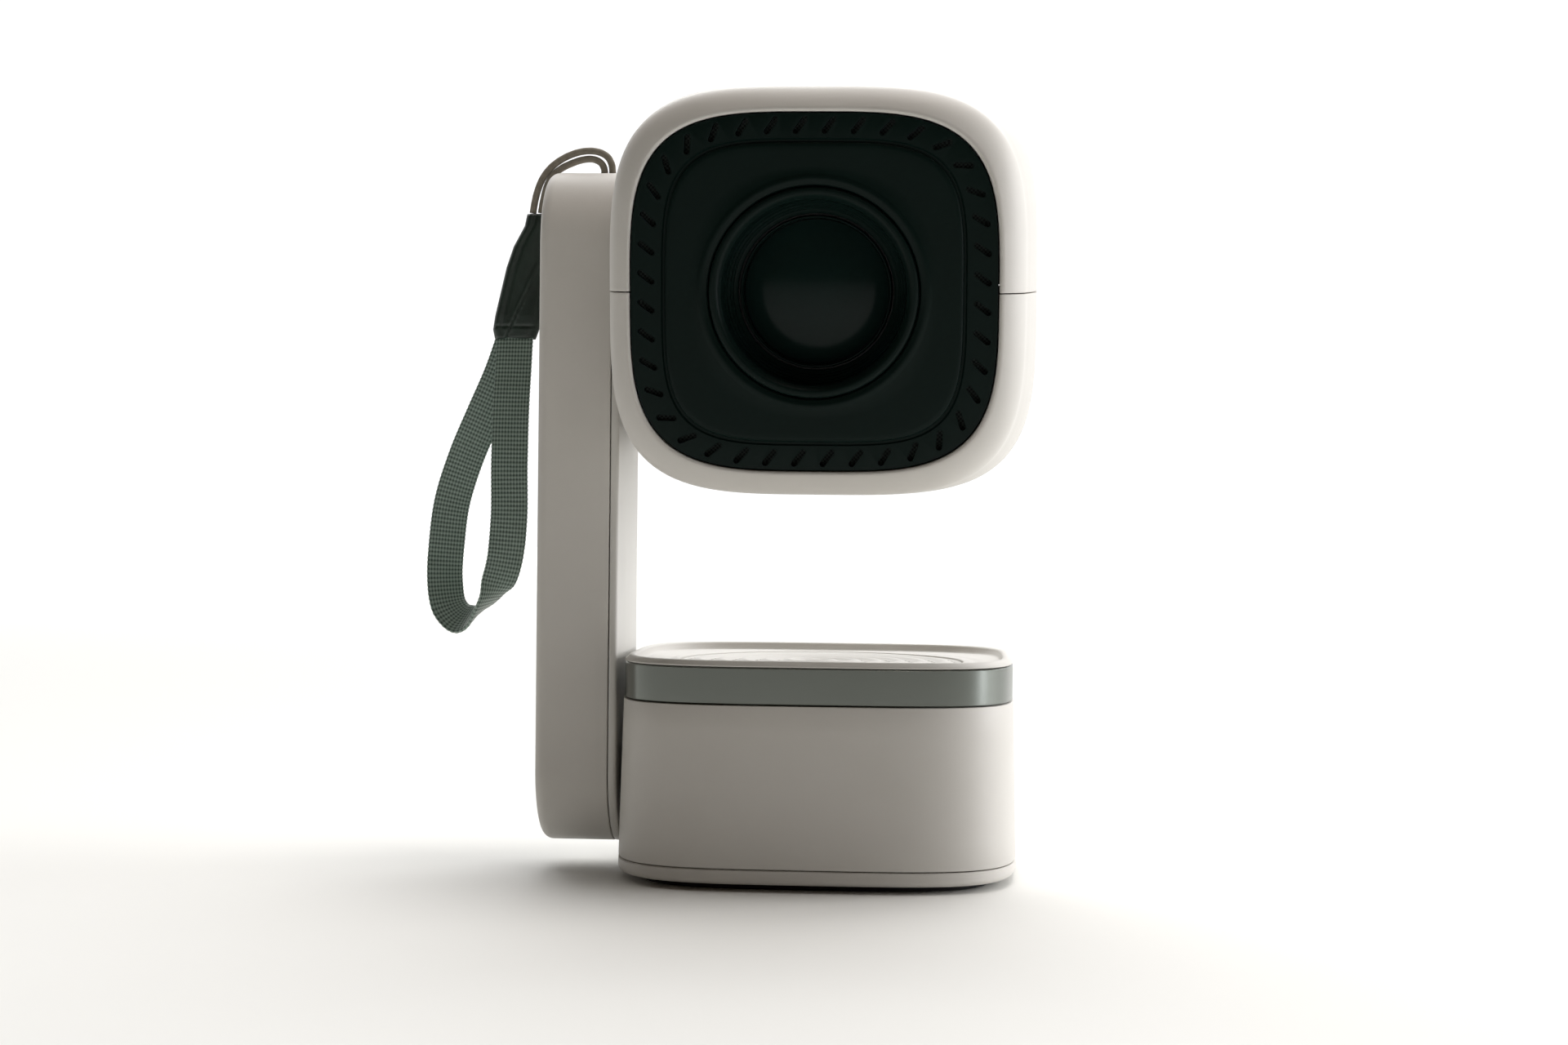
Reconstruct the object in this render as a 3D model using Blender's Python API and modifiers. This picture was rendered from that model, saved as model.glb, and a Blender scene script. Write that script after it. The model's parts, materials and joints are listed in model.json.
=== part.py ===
"""Compact home projector: a head that tilts on a one-sided arm, over a speaker and battery base.

The origin is the centre of the base's underside. X runs to the right, the lens faces -Y and Z is up.
All sizes below are in millimetres. The arm leans about the lower hinge, the head tilts about the
upper one, and the head is built square on its own axes and then tilted to its resting angle.
"""
import math

import bmesh
import bpy
from mathutils import Matrix, Vector

MM = 0.001

# Fits and facets
GAP = 0.3                # clearance between neighbouring pieces
WALL = 2.2               # wall of the moulded casings
SIDES = 40               # points round a rounded-square outline
STEPS = 28               # steps round a turned piece

# Base: a rounded square with a metal band under its top cover
BASE_WIDTH = 111.8
BASE_DEPTH = 104.0
BASE_POWER = 3.9         # superellipse exponent of the outline
BASE_DRAFT = 1.2         # how far each side leans in by the top
FOOT_HEIGHT = 1.6
FOOT_INSET = 6.0
PLATE_HEIGHT = 4.0
SHELL_HEIGHT = 43.8
BAND_HEIGHT = 9.8
BAND_INSET = 0.25
BAND_WALL = 1.8
RIM_HEIGHT = 1.6
RIM_WIDTH = 3.2
RIM_ROUND = 0.8
FIELD_DEPTH = 2.1        # from the rim down to the cover's field
COVER_WALL = 2.0
SKIRT_DEPTH = 9.0        # the cover's skirt inside the band
SCREW_SHANK = 1.5
SCREW_HEAD = 3.2
SCREW_HEAD_HEIGHT = 1.2
SCREW_LENGTH = 8.0
SCREW_SEAT = 1.8         # depth of the seat that a screw's head sinks in
SCREW_INSET_X = 13.9     # from the base's sides; the foot pad hides the heads
SCREW_INSET_Y = 22.0
BOSS_REACH = 3.5         # a boss reaches this far inwards from its screw
BOSS_SINK = 3.7          # and ends this far inside the base's outer face, within the wall
BOSS_HALF = 3.0
BOSS_TOP = 16.0

# Loudspeaker under the top cover
GRILLE_RADIUS = 40.0
RIPPLE_PITCH = 8.0
RIPPLE_HEIGHT = 0.8
SOUND_HOLE = 1.3         # radius
SPEAKER_RADIUS = 37.0
SPEAKER_DEPTH = 17.0
MAGNET_RADIUS = 19.0
MAGNET_HEIGHT = 9.0
CONE_RADIUS = 28.0
VOICE_BORE = 11.0

# Battery and power inlet
CELL_RADIUS = 9.0
CELL_LENGTH = 65.0
CELL_PITCH = 19.6
CELL_COUNT = 4
TRAY_FLOOR = 1.2
BOARD_WALL = 1.6
DC_HEIGHT = 19.0         # inlet centre above the table
DC_SIZE = 10.0
DC_LENGTH = 9.5
DC_BORE = 3.3
DC_PIN = 1.0

# Arm: a flat-sided stadium with a full radius at both ends
ARM_GAP = 0.5            # arm to base
ARM_WIDTH = 23.2
ARM_DEPTH = 44.0
ARM_BOTTOM = 7.0
ARM_TOP = 199.0
ARM_EDGE = 3.0           # fillet of the outer edge
COVER_PLATE = 2.2
SPINE_WALL = 2.5
SPINE_DEPTH = 30.0
SHAFT_RADIUS = 6.0
SHAFT_FLANGE = 11.0
BUSH_WALL = 1.4
NUT_RADIUS = 9.5
NUT_WIDTH = 2.4
BRACKET_WIDTH = 11.0
BRACKET_DEPTH = 30.0
BRACKET_TOP = 42.0
WASHER_WIDTH = 2.5
HARNESS_RADIUS = 1.6
# The cable's centre line inside the arm, with its first number counted from the spine's outer face
HARNESS_ROUTE = ((-6.6, 0, 42), (-8.6, 5, 50), (-9.6, 8, 70), (-9.6, 8, 120), (-8.6, 7, 140), (-7.6, 0, 150))

# Head: a rounded square block, split in an upper and a lower shell
TILT_HEIGHT = 166.4      # tilt axis above the table
TILT_REST = 6.0          # degrees nose-down at rest
HEAD_FRONT = -60.0
HEAD_BACK = 55.0
HEAD_HALF_X = 57.8
HEAD_HALF_Z = 56.0
HEAD_SHIFT = 2.0         # the block bulges to the right of its front ring
HEAD_POWER = 4.0
RING_HALF_X = 54.5
RING_HALF_Z = 53.3
PANEL_HALF_X = 48.7
PANEL_HALF_Z = 47.2
PANEL_POWER = 3.62
PANEL_WALL = 2.4
PANEL_RECESS = 0.8
RAISED_HALF = 38.7
RAISED_HEIGHT = 0.7
SLOT_COUNT = 40
SLOT_LENGTH = 5.4
SLOT_WIDTH = 1.6
SLOT_SWIRL = 37.0        # degrees between a slot and the outline's normal
REAR_HALF_X = 46.0
REAR_HALF_Z = 44.2
REAR_WALL = 2.4
REAR_RECESS = 0.8
LOUVRE_COUNT = 9
LOUVRE_PITCH = 5.6
LOUVRE_WIDTH = 2.8
SOCKETS = (("hdmi_socket", -18.0, 15.0), ("usb_socket", 2.0, 13.4), ("audio_socket", 18.0, 7.0))
REAR_SCREWS = ((-33.0, 33.0), (37.0, 33.0))
TILT_SHAFT_RADIUS = 6.5
TILT_FLANGE = 12.0
TILT_FLANGE_WIDTH = 2.3

# Lens and focus drive
BEZEL_RADIUS = 27.9
BEZEL_BACK = 46.2        # ahead of the tilt axis, as the other lens distances are
BEZEL_LIP = 1.4
BARREL_RADIUS = 20.4
BARREL_FRONT = 48.5
BARREL_STEP = 26.0
BARREL_BACK = 14.0
BARREL_TAIL_WALL = 1.8
GLASS_LIP = 1.0          # the barrel's wall round the front glass
GLASS_SEAT = 41.0
GLASS_SHOULDER = 1.2
REAR_GLASS_RADIUS = 14.3
HOUSING_WALL = 2.2
HOUSING_FRONT = 45.6
FLANGE_INSET = 0.5       # the housing's flange seats on the engine case, this far inside its top
HOUSING_SHELF = 3.2
GEAR_MODULE = 2.0
RING_TEETH = 27
PINION_TEETH = 8
GEAR_BACK = 30.0
GEAR_WIDTH = 6.0
PINION_ANGLE = -45.0     # degrees round the lens axis
BACKLASH = 0.35
MOTOR_RADIUS = 6.0
MOTOR_LENGTH = 17.0

# Light engine, cooling and electronics, as distances behind the tilt axis
ENGINE_HALF_X = 33.0
ENGINE_HALF_Z = 30.0
ENGINE_FRONT = -7.8
ENGINE_BACK = 24.0
ENGINE_WALL = 2.0
LCD_Y = 2.0
FRESNEL_Y = 9.0
SINK_FRONT = 27.2
SINK_BACK = 38.2
SINK_BASE = 3.0
FIN_COUNT = 11
FAN_FRONT = 38.8
FAN_BACK = 49.0
FAN_HALF = 30.0
FAN_BORE = 28.0
ROTOR_RADIUS = 27.0
HUB_RADIUS = 10.0
BLADE_COUNT = 7
MAINBOARD_Z = -40.0
SOCKET_HEIGHT = 6.4
SOCKET_DEPTH = 12.0
BUTTON_RADIUS = 5.0
BUTTON_X = 30.0
BUTTON_TRAVEL = 0.8

# Hand strap
CORD_RADIUS = 1.0
CORD_Y = 2.0
BAR_RADIUS = 3.0
BAR_INSET = 8.6          # from the arm's inner face; the cord turns round this bar inside the arm
BAR_HEIGHT = 187.5
BAR_LENGTH = 28.0
CROWN_SLOT = (9.9, 4.1)  # the slot in the arm's crown that the cord passes, from the arm's inner face
CROWN_SLOT_HALF = 1.8
STRAP_WIDTH = 10.6
STRAP_THICKNESS = 1.2

# Heights and places that follow from the sizes above
PLATE_Z = FOOT_HEIGHT + GAP
SHELL_Z = PLATE_Z + PLATE_HEIGHT + GAP
BAND_Z = SHELL_Z + SHELL_HEIGHT + GAP
RIM_Z = BAND_Z + BAND_HEIGHT + GAP
BASE_TOP = RIM_Z + RIM_HEIGHT
FIELD_Z = BASE_TOP - FIELD_DEPTH
BASE_SCREW_X = BASE_WIDTH / 2 - SCREW_INSET_X
BASE_SCREW_Y = BASE_DEPTH / 2 - SCREW_INSET_Y
ARM_RADIUS = ARM_DEPTH / 2
ARM_INNER = -(BASE_WIDTH / 2 + ARM_GAP)
ARM_OUTER = ARM_INNER - ARM_WIDTH
ARM_PIVOT_Z = ARM_BOTTOM + ARM_RADIUS
COVER_INSIDE = ARM_INNER - COVER_PLATE
SPINE_X = COVER_INSIDE - GAP - SPINE_WALL
HEAD_LEFT = HEAD_SHIFT - HEAD_HALF_X
PANEL_FRONT = HEAD_FRONT + PANEL_RECESS
PANEL_BACK = PANEL_FRONT + PANEL_WALL
RAISED_FRONT = PANEL_FRONT - RAISED_HEIGHT
REAR_FACE = HEAD_BACK - REAR_RECESS
SOCKET_Z = MAINBOARD_Z + BOARD_WALL + GAP + SOCKET_HEIGHT / 2
BAR_X = ARM_INNER - BAR_INSET
BEZEL_BORE = BARREL_RADIUS + 2 * GAP
GLASS_RADIUS = BARREL_RADIUS - GLASS_LIP

FRONTWARD = (math.pi / 2, 0, 0)      # turns a piece's own Z to face -Y
RIGHTWARD = (0, math.pi / 2, 0)      # turns a piece's own Z to face +X

for old in list(bpy.data.objects):
    bpy.data.objects.remove(old, do_unlink=True)

parts = bpy.data.collections.new("home_projector")
cutters = bpy.data.collections.new("cutters")
bpy.context.scene.collection.children.link(parts)
bpy.context.scene.collection.children.link(cutters)


# ---------------------------------------------------------------- helpers
def material(name, colour, roughness=0.5, metallic=0.0):
    """A plain Principled material, with its colour in linear RGB."""
    made = bpy.data.materials.new(name)
    made.use_nodes = True
    shader = made.node_tree.nodes["Principled BSDF"]
    shader.inputs["Base Color"].default_value = (*colour, 1.0)
    shader.inputs["Roughness"].default_value = roughness
    shader.inputs["Metallic"].default_value = metallic
    return made


def joint(name, location, parent=None):
    """An empty on a joint's axis, which carries the pieces that move with it."""
    empty = bpy.data.objects.new(name, None)
    parts.objects.link(empty)
    empty.location = Vector(location) * MM
    empty.parent = parent
    return empty


def add(name, bm, finish, parent=None, location=(0, 0, 0), turn=(0, 0, 0), smooth=35):
    """Make an object from a bmesh that is in millimetres, and place it under its parent."""
    bmesh.ops.scale(bm, vec=(MM, MM, MM), verts=bm.verts)
    mesh = bpy.data.meshes.new(name)
    bm.to_mesh(mesh)
    bm.free()
    mesh.shade_smooth()
    mesh.set_sharp_from_angle(angle=math.radians(smooth))
    made = bpy.data.objects.new(name, mesh)
    made.location = Vector(location) * MM
    made.rotation_euler = turn
    made.parent = parent
    if finish is None:
        cutters.objects.link(made)
        made.hide_render = True
        made.display_type = "WIRE"
    else:
        parts.objects.link(made)
        mesh.materials.append(finish)
    return made


def skin(bm, sections, hollow=False):
    """Join sections of equal count into one body: capped at its ends, or closed on itself."""
    loops = [[bm.verts.new(point) for point in section] for section in sections]
    pairs = list(zip(loops, loops[1:]))
    if hollow:
        pairs.append((loops[-1], loops[0]))
    faces = []
    for first, second in pairs:
        for i in range(len(first)):
            j = (i + 1) % len(first)
            faces.append(bm.faces.new((first[i], first[j], second[j], second[i])))
    if not hollow:
        faces.append(bm.faces.new(loops[0][::-1]))
        faces.append(bm.faces.new(loops[-1]))
    bmesh.ops.recalc_face_normals(bm, faces=faces)


def loft(name, sections, finish, parent=None, hollow=False, **where):
    bm = bmesh.new()
    skin(bm, sections, hollow)
    return add(name, bm, finish, parent, **where)


def squircle(half_u, half_v, power, shift=0.0, count=SIDES):
    """Points (u, v) of a superellipse."""
    points = []
    for i in range(count):
        angle = 2 * math.pi * i / count
        c, s = math.cos(angle), math.sin(angle)
        u = math.copysign(abs(c) ** (2 / power), c) * half_u
        v = math.copysign(abs(s) ** (2 / power), s) * half_v
        points.append((u + shift, v))
    return points


def level(z, half_x, half_y, power=BASE_POWER, count=SIDES):
    """A rounded-square section lying flat at height z."""
    return [(x, y, z) for x, y in squircle(half_x, half_y, power, count=count)]


def upright(y, half_x, half_z, power=HEAD_POWER, shift=0.0, count=SIDES):
    """A rounded-square section standing across the head at depth y."""
    return [(x, y, z) for x, z in squircle(half_x, half_z, power, shift, count)]


def stadium(x, inset, depth=ARM_DEPTH, low=ARM_BOTTOM, high=ARM_TOP, steps=12):
    """The arm's round-ended side outline at x, drawn in by inset."""
    radius = depth / 2 - inset
    ends = ((high - depth / 2, 0.0), (low + depth / 2, math.pi))
    points = []
    for centre_z, start in ends:
        for i in range(steps + 1):
            angle = start + math.pi * i / steps
            points.append((x, math.cos(angle) * radius, centre_z + math.sin(angle) * radius))
    return points


def box(name, low, high, finish, parent=None):
    """A box between two corners."""
    low, high = Vector(low), Vector(high)
    bm = bmesh.new()
    bmesh.ops.create_cube(bm, size=1)
    bmesh.ops.scale(bm, vec=high - low, verts=bm.verts)
    bmesh.ops.translate(bm, vec=(low + high) / 2, verts=bm.verts)
    return add(name, bm, finish, parent)


def turned(name, profile, finish, parent=None, location=(0, 0, 0), turn=(0, 0, 0), ring=True,
           steps=STEPS):
    """Turn a profile (radius, height) about its own Z, outer side listed from top to bottom."""
    bm = bmesh.new()
    points = [bm.verts.new((radius, 0, height)) for radius, height in profile]
    for first, second in zip(points, points[1:]):
        bm.edges.new((first, second))
    if ring:
        bm.edges.new((points[-1], points[0]))
    made = add(name, bm, finish, parent, location, turn)
    screw = made.modifiers.new("turn", "SCREW")
    screw.axis = "Z"
    screw.angle = 2 * math.pi
    screw.steps = screw.render_steps = steps
    screw.use_merge_vertices = True
    screw.merge_threshold = 0.000005
    return made


def rod(name, radius, low, high, finish, parent=None, location=(0, 0, 0), turn=(0, 0, 0),
        steps=STEPS):
    """A plain solid cylinder from low to high along its own Z."""
    profile = ((0, high), (radius, high), (radius, low), (0, low))
    return turned(name, profile, finish, parent, location, turn, ring=False, steps=steps)


def collar(name, outer, bore, low, high, finish, parent=None, location=(0, 0, 0), turn=(0, 0, 0)):
    """A plain ring from low to high along its own Z."""
    profile = ((bore, high), (outer, high), (outer, low), (bore, low))
    return turned(name, profile, finish, parent, location, turn)


def cut(target, cutter):
    """Take the cutter's shape away from the target."""
    boolean = target.modifiers.new("cut", "BOOLEAN")
    boolean.operation = "DIFFERENCE"
    boolean.solver = "EXACT"
    boolean.object = cutter


def join(target, piece):
    """Add the piece's shape to the target."""
    boolean = target.modifiers.new("join", "BOOLEAN")
    boolean.operation = "UNION"
    boolean.solver = "EXACT"
    boolean.object = piece


def screws(name, places, head_radius, head_height, shank_radius, length, turn, finish, parent=None):
    """Like screws that share one mesh, each with its head's top at its place, facing its own Z."""
    rings = ((head_radius, 0), (head_radius, -head_height), (shank_radius, -head_height),
             (shank_radius, -head_height - length))
    sections = [[(x, y, z) for x, y in squircle(radius, radius, 2, count=12)] for radius, z in rings]
    first = None
    for number, place in enumerate(places, 1):
        if first is None:
            first = loft(f"{name}_{number}", sections, finish, parent, location=place, turn=turn)
            continue
        copy = first.copy()
        copy.name = f"{name}_{number}"
        copy.location = Vector(place) * MM
        parts.objects.link(copy)


def smooth_route(points, count):
    """Evenly placed points on a smooth curve through the given ones."""
    ends = [points[0] * 2 - points[1]] + points + [points[-1] * 2 - points[-2]]
    fine = []
    for a, b, c, d in zip(ends, ends[1:], ends[2:], ends[3:]):
        for i in range(12):
            t = i / 12
            fine.append(0.5 * (2 * b + (c - a) * t + (2 * a - 5 * b + 4 * c - d) * t ** 2
                               + (3 * b - a - 3 * c + d) * t ** 3))
    fine.append(points[-1])
    reach = [0.0]
    for first, second in zip(fine, fine[1:]):
        reach.append(reach[-1] + (second - first).length)
    even, k = [], 0
    for i in range(count):
        goal = reach[-1] * i / (count - 1)
        while k < len(reach) - 2 and reach[k + 1] < goal:
            k += 1
        share = (goal - reach[k]) / (reach[k + 1] - reach[k])
        even.append(fine[k].lerp(fine[k + 1], share))
    return even


def tube(name, route, radius, finish, parent, origin):
    """A cord or cable as a round tube along its route."""
    curve = bpy.data.curves.new(name, "CURVE")
    curve.dimensions = "3D"
    curve.bevel_depth = radius * MM
    curve.bevel_resolution = 2
    curve.use_fill_caps = True
    spline = curve.splines.new("POLY")
    spline.points.add(len(route) - 1)
    for point, place in zip(spline.points, route):
        point.co = ((place - origin) * MM).to_4d()
    curve.materials.append(finish)
    made = bpy.data.objects.new(name, curve)
    made.parent = parent
    parts.objects.link(made)
    return made


# ---------------------------------------------------------------- finishes
white_casing = material("white_casing", (0.66, 0.64, 0.60), 0.45)
white_arm = material("white_arm", (0.66, 0.64, 0.60), 0.45)
inner_cover = material("inner_cover", (0.60, 0.58, 0.55), 0.5)
satin_metal = material("satin_metal", (0.55, 0.54, 0.52), 0.3, 1.0)
zinc = material("zinc", (0.40, 0.40, 0.42), 0.4, 1.0)
steel = material("steel", (0.50, 0.50, 0.50), 0.3, 1.0)
alloy_sink = material("alloy_sink", (0.60, 0.60, 0.60), 0.4, 1.0)
black_rubber = material("black_rubber", (0.02, 0.02, 0.02), 0.9)
gloss_panel = material("gloss_panel", (0.010, 0.020, 0.018), 0.25)
black_plastic = material("black_plastic", (0.015, 0.016, 0.017), 0.5)
grey_plastic = material("grey_plastic", (0.20, 0.20, 0.20), 0.5)
glass = material("glass", (0.05, 0.08, 0.08), 0.05)
circuit_board = material("circuit_board", (0.02, 0.10, 0.05), 0.5)
cell_wrap = material("cell_wrap", (0.05, 0.12, 0.30), 0.4)
paper_cone = material("paper_cone", (0.05, 0.05, 0.05), 0.8)
cord_braid = material("cord_braid", (0.17, 0.15, 0.12), 0.9)
strap_leather = material("strap_leather", (0.02, 0.03, 0.025), 0.6)
strap_weave = material("strap_weave", (0.07, 0.08, 0.075), 0.9)


# ---------------------------------------------------------------- base
def base_half(z, inset=0.0):
    """The base's half width and half depth at height z, with its draft and an inset."""
    rise = min(max((z - PLATE_Z) / (BAND_Z - PLATE_Z), 0.0), 1.0)
    draw = BASE_DRAFT * rise + inset
    return BASE_WIDTH / 2 - draw, BASE_DEPTH / 2 - draw


def foot_pad():
    sections = [level(0, *base_half(0, FOOT_INSET + 0.4)),
                level(0.4, *base_half(0, FOOT_INSET)),
                level(FOOT_HEIGHT, *base_half(0, FOOT_INSET))]
    loft("foot_pad", sections, black_rubber)


def base_plate():
    top = PLATE_Z + PLATE_HEIGHT
    sections = [level(PLATE_Z, *base_half(PLATE_Z, 1.6)),
                level(PLATE_Z + 1.4, *base_half(PLATE_Z)),
                level(top, *base_half(top))]
    plate = loft("base_plate", sections, white_casing)
    seat_z = PLATE_Z + SCREW_SEAT
    bm = bmesh.new()
    for x, y in base_screw_places():
        steps = ((SCREW_HEAD + GAP, PLATE_Z - 5), (SCREW_HEAD + GAP, seat_z), (SCREW_SHANK + GAP, seat_z),
                 (SCREW_SHANK + GAP, top + 5))
        sections = [[(x + u, y + v, z) for u, v in squircle(r, r, 2, count=12)] for r, z in steps]
        skin(bm, sections)
    cut(plate, add("cut_plate_screws", bm, None))


def base_screw_places():
    return [(sx * BASE_SCREW_X, sy * BASE_SCREW_Y) for sx in (-1, 1) for sy in (-1, 1)]


def base_shell():
    low, high = SHELL_Z, SHELL_Z + SHELL_HEIGHT
    sections = [level(low, *base_half(low)), level(high, *base_half(high)),
                level(high, *base_half(high, WALL)), level(low, *base_half(low, WALL))]
    shell = loft("base_shell", sections, white_casing, hollow=True)
    bore = BUSH_WALL + SHAFT_RADIUS + 2 * GAP
    cut(shell, rod("cut_hinge_hole", bore, -BASE_WIDTH / 2 - 5, -BASE_WIDTH / 2 + 10, None,
                   location=(0, 0, ARM_PIVOT_Z), turn=RIGHTWARD))
    reach = DC_SIZE / 2 + GAP
    cut(shell, box("cut_dc_hole", (-reach, BASE_DEPTH / 2 - 8, DC_HEIGHT - reach),
                   (reach, BASE_DEPTH / 2 + 5, DC_HEIGHT + reach), None))
    bm = bmesh.new()
    holes = bmesh.new()
    for x, y in base_screw_places():
        side = math.copysign(1, x)
        ends = sorted((side * (BASE_SCREW_X - BOSS_REACH), side * (BASE_WIDTH / 2 - BOSS_SINK)))
        add_box(bm, (ends[0], y - BOSS_HALF, low), (ends[1], y + BOSS_HALF, BOSS_TOP))
        drill = [[(x + u, y + v, z) for u, v in squircle(SCREW_SHANK + GAP, SCREW_SHANK + GAP, 2, count=12)]
                 for z in (low - 5, BOSS_TOP - 2)]
        skin(holes, drill)
    join(shell, add("join_bosses", bm, None))
    cut(shell, add("cut_boss_screws", holes, None))


def trim_band():
    low, high = BAND_Z, BAND_Z + BAND_HEIGHT
    outer = base_half(BAND_Z, BAND_INSET)
    inner = base_half(BAND_Z, BAND_INSET + BAND_WALL)
    sections = [level(low, *outer), level(high, *outer), level(high, *inner), level(low, *inner)]
    loft("trim_band", sections, satin_metal, hollow=True)


def top_cover():
    inside_band = BAND_INSET + BAND_WALL + GAP
    under = FIELD_Z - COVER_WALL
    hole = GRILLE_RADIUS + GAP
    sections = [level(RIM_Z, *base_half(RIM_Z, BAND_INSET)),
                level(BASE_TOP - RIM_ROUND, *base_half(RIM_Z, BAND_INSET)),
                level(BASE_TOP, *base_half(RIM_Z, BAND_INSET + RIM_ROUND)),
                level(BASE_TOP, *base_half(RIM_Z, RIM_WIDTH)),
                level(FIELD_Z, *base_half(RIM_Z, RIM_WIDTH + RIM_ROUND)),
                level(FIELD_Z, hole, hole, 2), level(under, hole, hole, 2),
                level(under, *base_half(RIM_Z, inside_band + COVER_WALL)),
                level(RIM_Z - SKIRT_DEPTH, *base_half(RIM_Z, inside_band + COVER_WALL)),
                level(RIM_Z - SKIRT_DEPTH, *base_half(RIM_Z, inside_band)),
                level(RIM_Z, *base_half(RIM_Z, inside_band))]
    loft("top_cover", sections, white_casing, hollow=True)


def speaker_grille():
    """A round disc with rings of ripples, and sound holes in the ripples' troughs."""
    count = int((GRILLE_RADIUS - 1) / RIPPLE_PITCH * 2)
    profile = [(0, FIELD_Z - RIPPLE_HEIGHT)]
    for i in range(1, count + 1):
        height = FIELD_Z - (RIPPLE_HEIGHT if i % 2 == 0 else 0.0)
        profile.append((i * RIPPLE_PITCH / 2, height))
    under = FIELD_Z - COVER_WALL
    profile += [(GRILLE_RADIUS, FIELD_Z - RIPPLE_HEIGHT / 2), (GRILLE_RADIUS, under), (0, under)]
    disc = turned("speaker_grille", profile, grey_plastic, ring=False)
    bm = bmesh.new()
    for ring in (2, 4):
        radius = ring * RIPPLE_PITCH
        holes = ring * 5
        for i in range(holes):
            angle = 2 * math.pi * (i + 0.5) / holes
            hole = bmesh.ops.create_cone(bm, cap_ends=True, segments=6, radius1=SOUND_HOLE,
                                         radius2=SOUND_HOLE, depth=COVER_WALL * 4)
            where = (math.cos(angle) * radius, math.sin(angle) * radius, FIELD_Z)
            bmesh.ops.translate(bm, vec=where, verts=hole["verts"])
    cut(disc, add("cut_sound_holes", bm, None))


def loudspeaker():
    """A basket with its magnet behind it, and a cone that moves a little up and down."""
    top = FIELD_Z - COVER_WALL - GAP
    floor = top - SPEAKER_DEPTH
    neck = MAGNET_RADIUS + 2
    basket = ((CONE_RADIUS + 1.5, top), (SPEAKER_RADIUS, top), (SPEAKER_RADIUS, top - 2.4),
              (neck, floor), (VOICE_BORE, floor), (VOICE_BORE, floor + 2), (neck - 1, floor + 2),
              (CONE_RADIUS + 1.5, top - 3))
    turned("speaker_frame", basket, black_plastic)
    rod("speaker_magnet", MAGNET_RADIUS, floor - GAP - MAGNET_HEIGHT, floor - GAP, steel)
    rim = top - 2.0
    cone = ((0, rim - 6.5), (VOICE_BORE - 1.5, rim - 8.5), (CONE_RADIUS - 3, rim), (CONE_RADIUS, rim),
            (CONE_RADIUS, rim - 1), (CONE_RADIUS - 3, rim - 1.2), (VOICE_BORE - 1, rim - 10.5),
            (0, rim - 8.5))
    turned("speaker_cone", cone, paper_cone, ring=False)


def battery():
    """Round cells side by side in a tray on the base plate."""
    floor = SHELL_Z + GAP
    half_x = CELL_LENGTH / 2 + 3
    half_y = CELL_PITCH * CELL_COUNT / 2 + 1
    low = floor + TRAY_FLOOR
    wall = 1.5
    tray = box("battery_tray", (-half_x, -half_y, floor), (half_x, half_y, low + CELL_RADIUS), black_plastic)
    cut(tray, box("cut_tray", (-half_x + wall, -half_y + wall, low),
                  (half_x - wall, half_y - wall, low + CELL_RADIUS * 2), None))
    outline = []
    centres = [(i - (CELL_COUNT - 1) / 2) * CELL_PITCH for i in range(CELL_COUNT)]
    height = low + CELL_RADIUS + GAP
    steps = 8
    for side, row in ((0.0, centres[::-1]), (math.pi, centres)):
        for y in row:
            for i in range(1, steps):
                angle = side + math.pi * i / steps
                outline.append((y + math.cos(angle) * CELL_RADIUS, height + math.sin(angle) * CELL_RADIUS))
    half = CELL_LENGTH / 2
    loft("battery_pack", [[(x, y, z) for y, z in outline] for x in (-half, half)], cell_wrap)


def power_inlet():
    """The DC inlet in the rear wall and the power board in front of it."""
    back = base_half(DC_HEIGHT)[1] - 1.0
    half = DC_SIZE / 2
    socket = box("dc_socket", (-half, back - DC_LENGTH, DC_HEIGHT - half), (half, back, DC_HEIGHT + half),
                 black_plastic)
    cut(socket, collar("cut_dc_bore", DC_BORE, DC_PIN, -1, DC_LENGTH - 2, None,
                       location=(0, back - DC_LENGTH + 2, DC_HEIGHT), turn=(-math.pi / 2, 0, 0)))
    board_z = DC_HEIGHT + half + GAP
    box("power_board", (-26, back - 12, board_z), (26, back - 3, board_z + BOARD_WALL), circuit_board)


def base_hinge():
    """The bracket and bush that carry the arm's shaft in the base's left side."""
    left = -base_half(ARM_PIVOT_Z)[0] + WALL + 2 * GAP
    low = SHELL_Z + GAP
    bracket = box("hinge_bracket", (left, -BRACKET_DEPTH / 2, low),
                  (left + BRACKET_WIDTH, BRACKET_DEPTH / 2, BRACKET_TOP), zinc)
    cut(bracket, rod("cut_bracket", SHAFT_RADIUS + GAP, left - 5, left + BRACKET_WIDTH + 5, None,
                     location=(0, 0, ARM_PIVOT_Z), turn=RIGHTWARD))
    outer = SHAFT_RADIUS + GAP + BUSH_WALL
    collar("hinge_bush", outer, SHAFT_RADIUS + GAP, left - GAP - WALL, left - GAP, black_plastic,
           location=(0, 0, ARM_PIVOT_Z), turn=RIGHTWARD)
    return left + BRACKET_WIDTH


# ---------------------------------------------------------------- arm
arm = joint("arm_joint", (ARM_INNER, 0, ARM_PIVOT_Z))
arm_origin = Vector((ARM_INNER, 0, ARM_PIVOT_Z))


def on_arm(points):
    """World millimetres to the arm's own millimetres."""
    return [Vector(point) - arm_origin for point in points]


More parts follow.
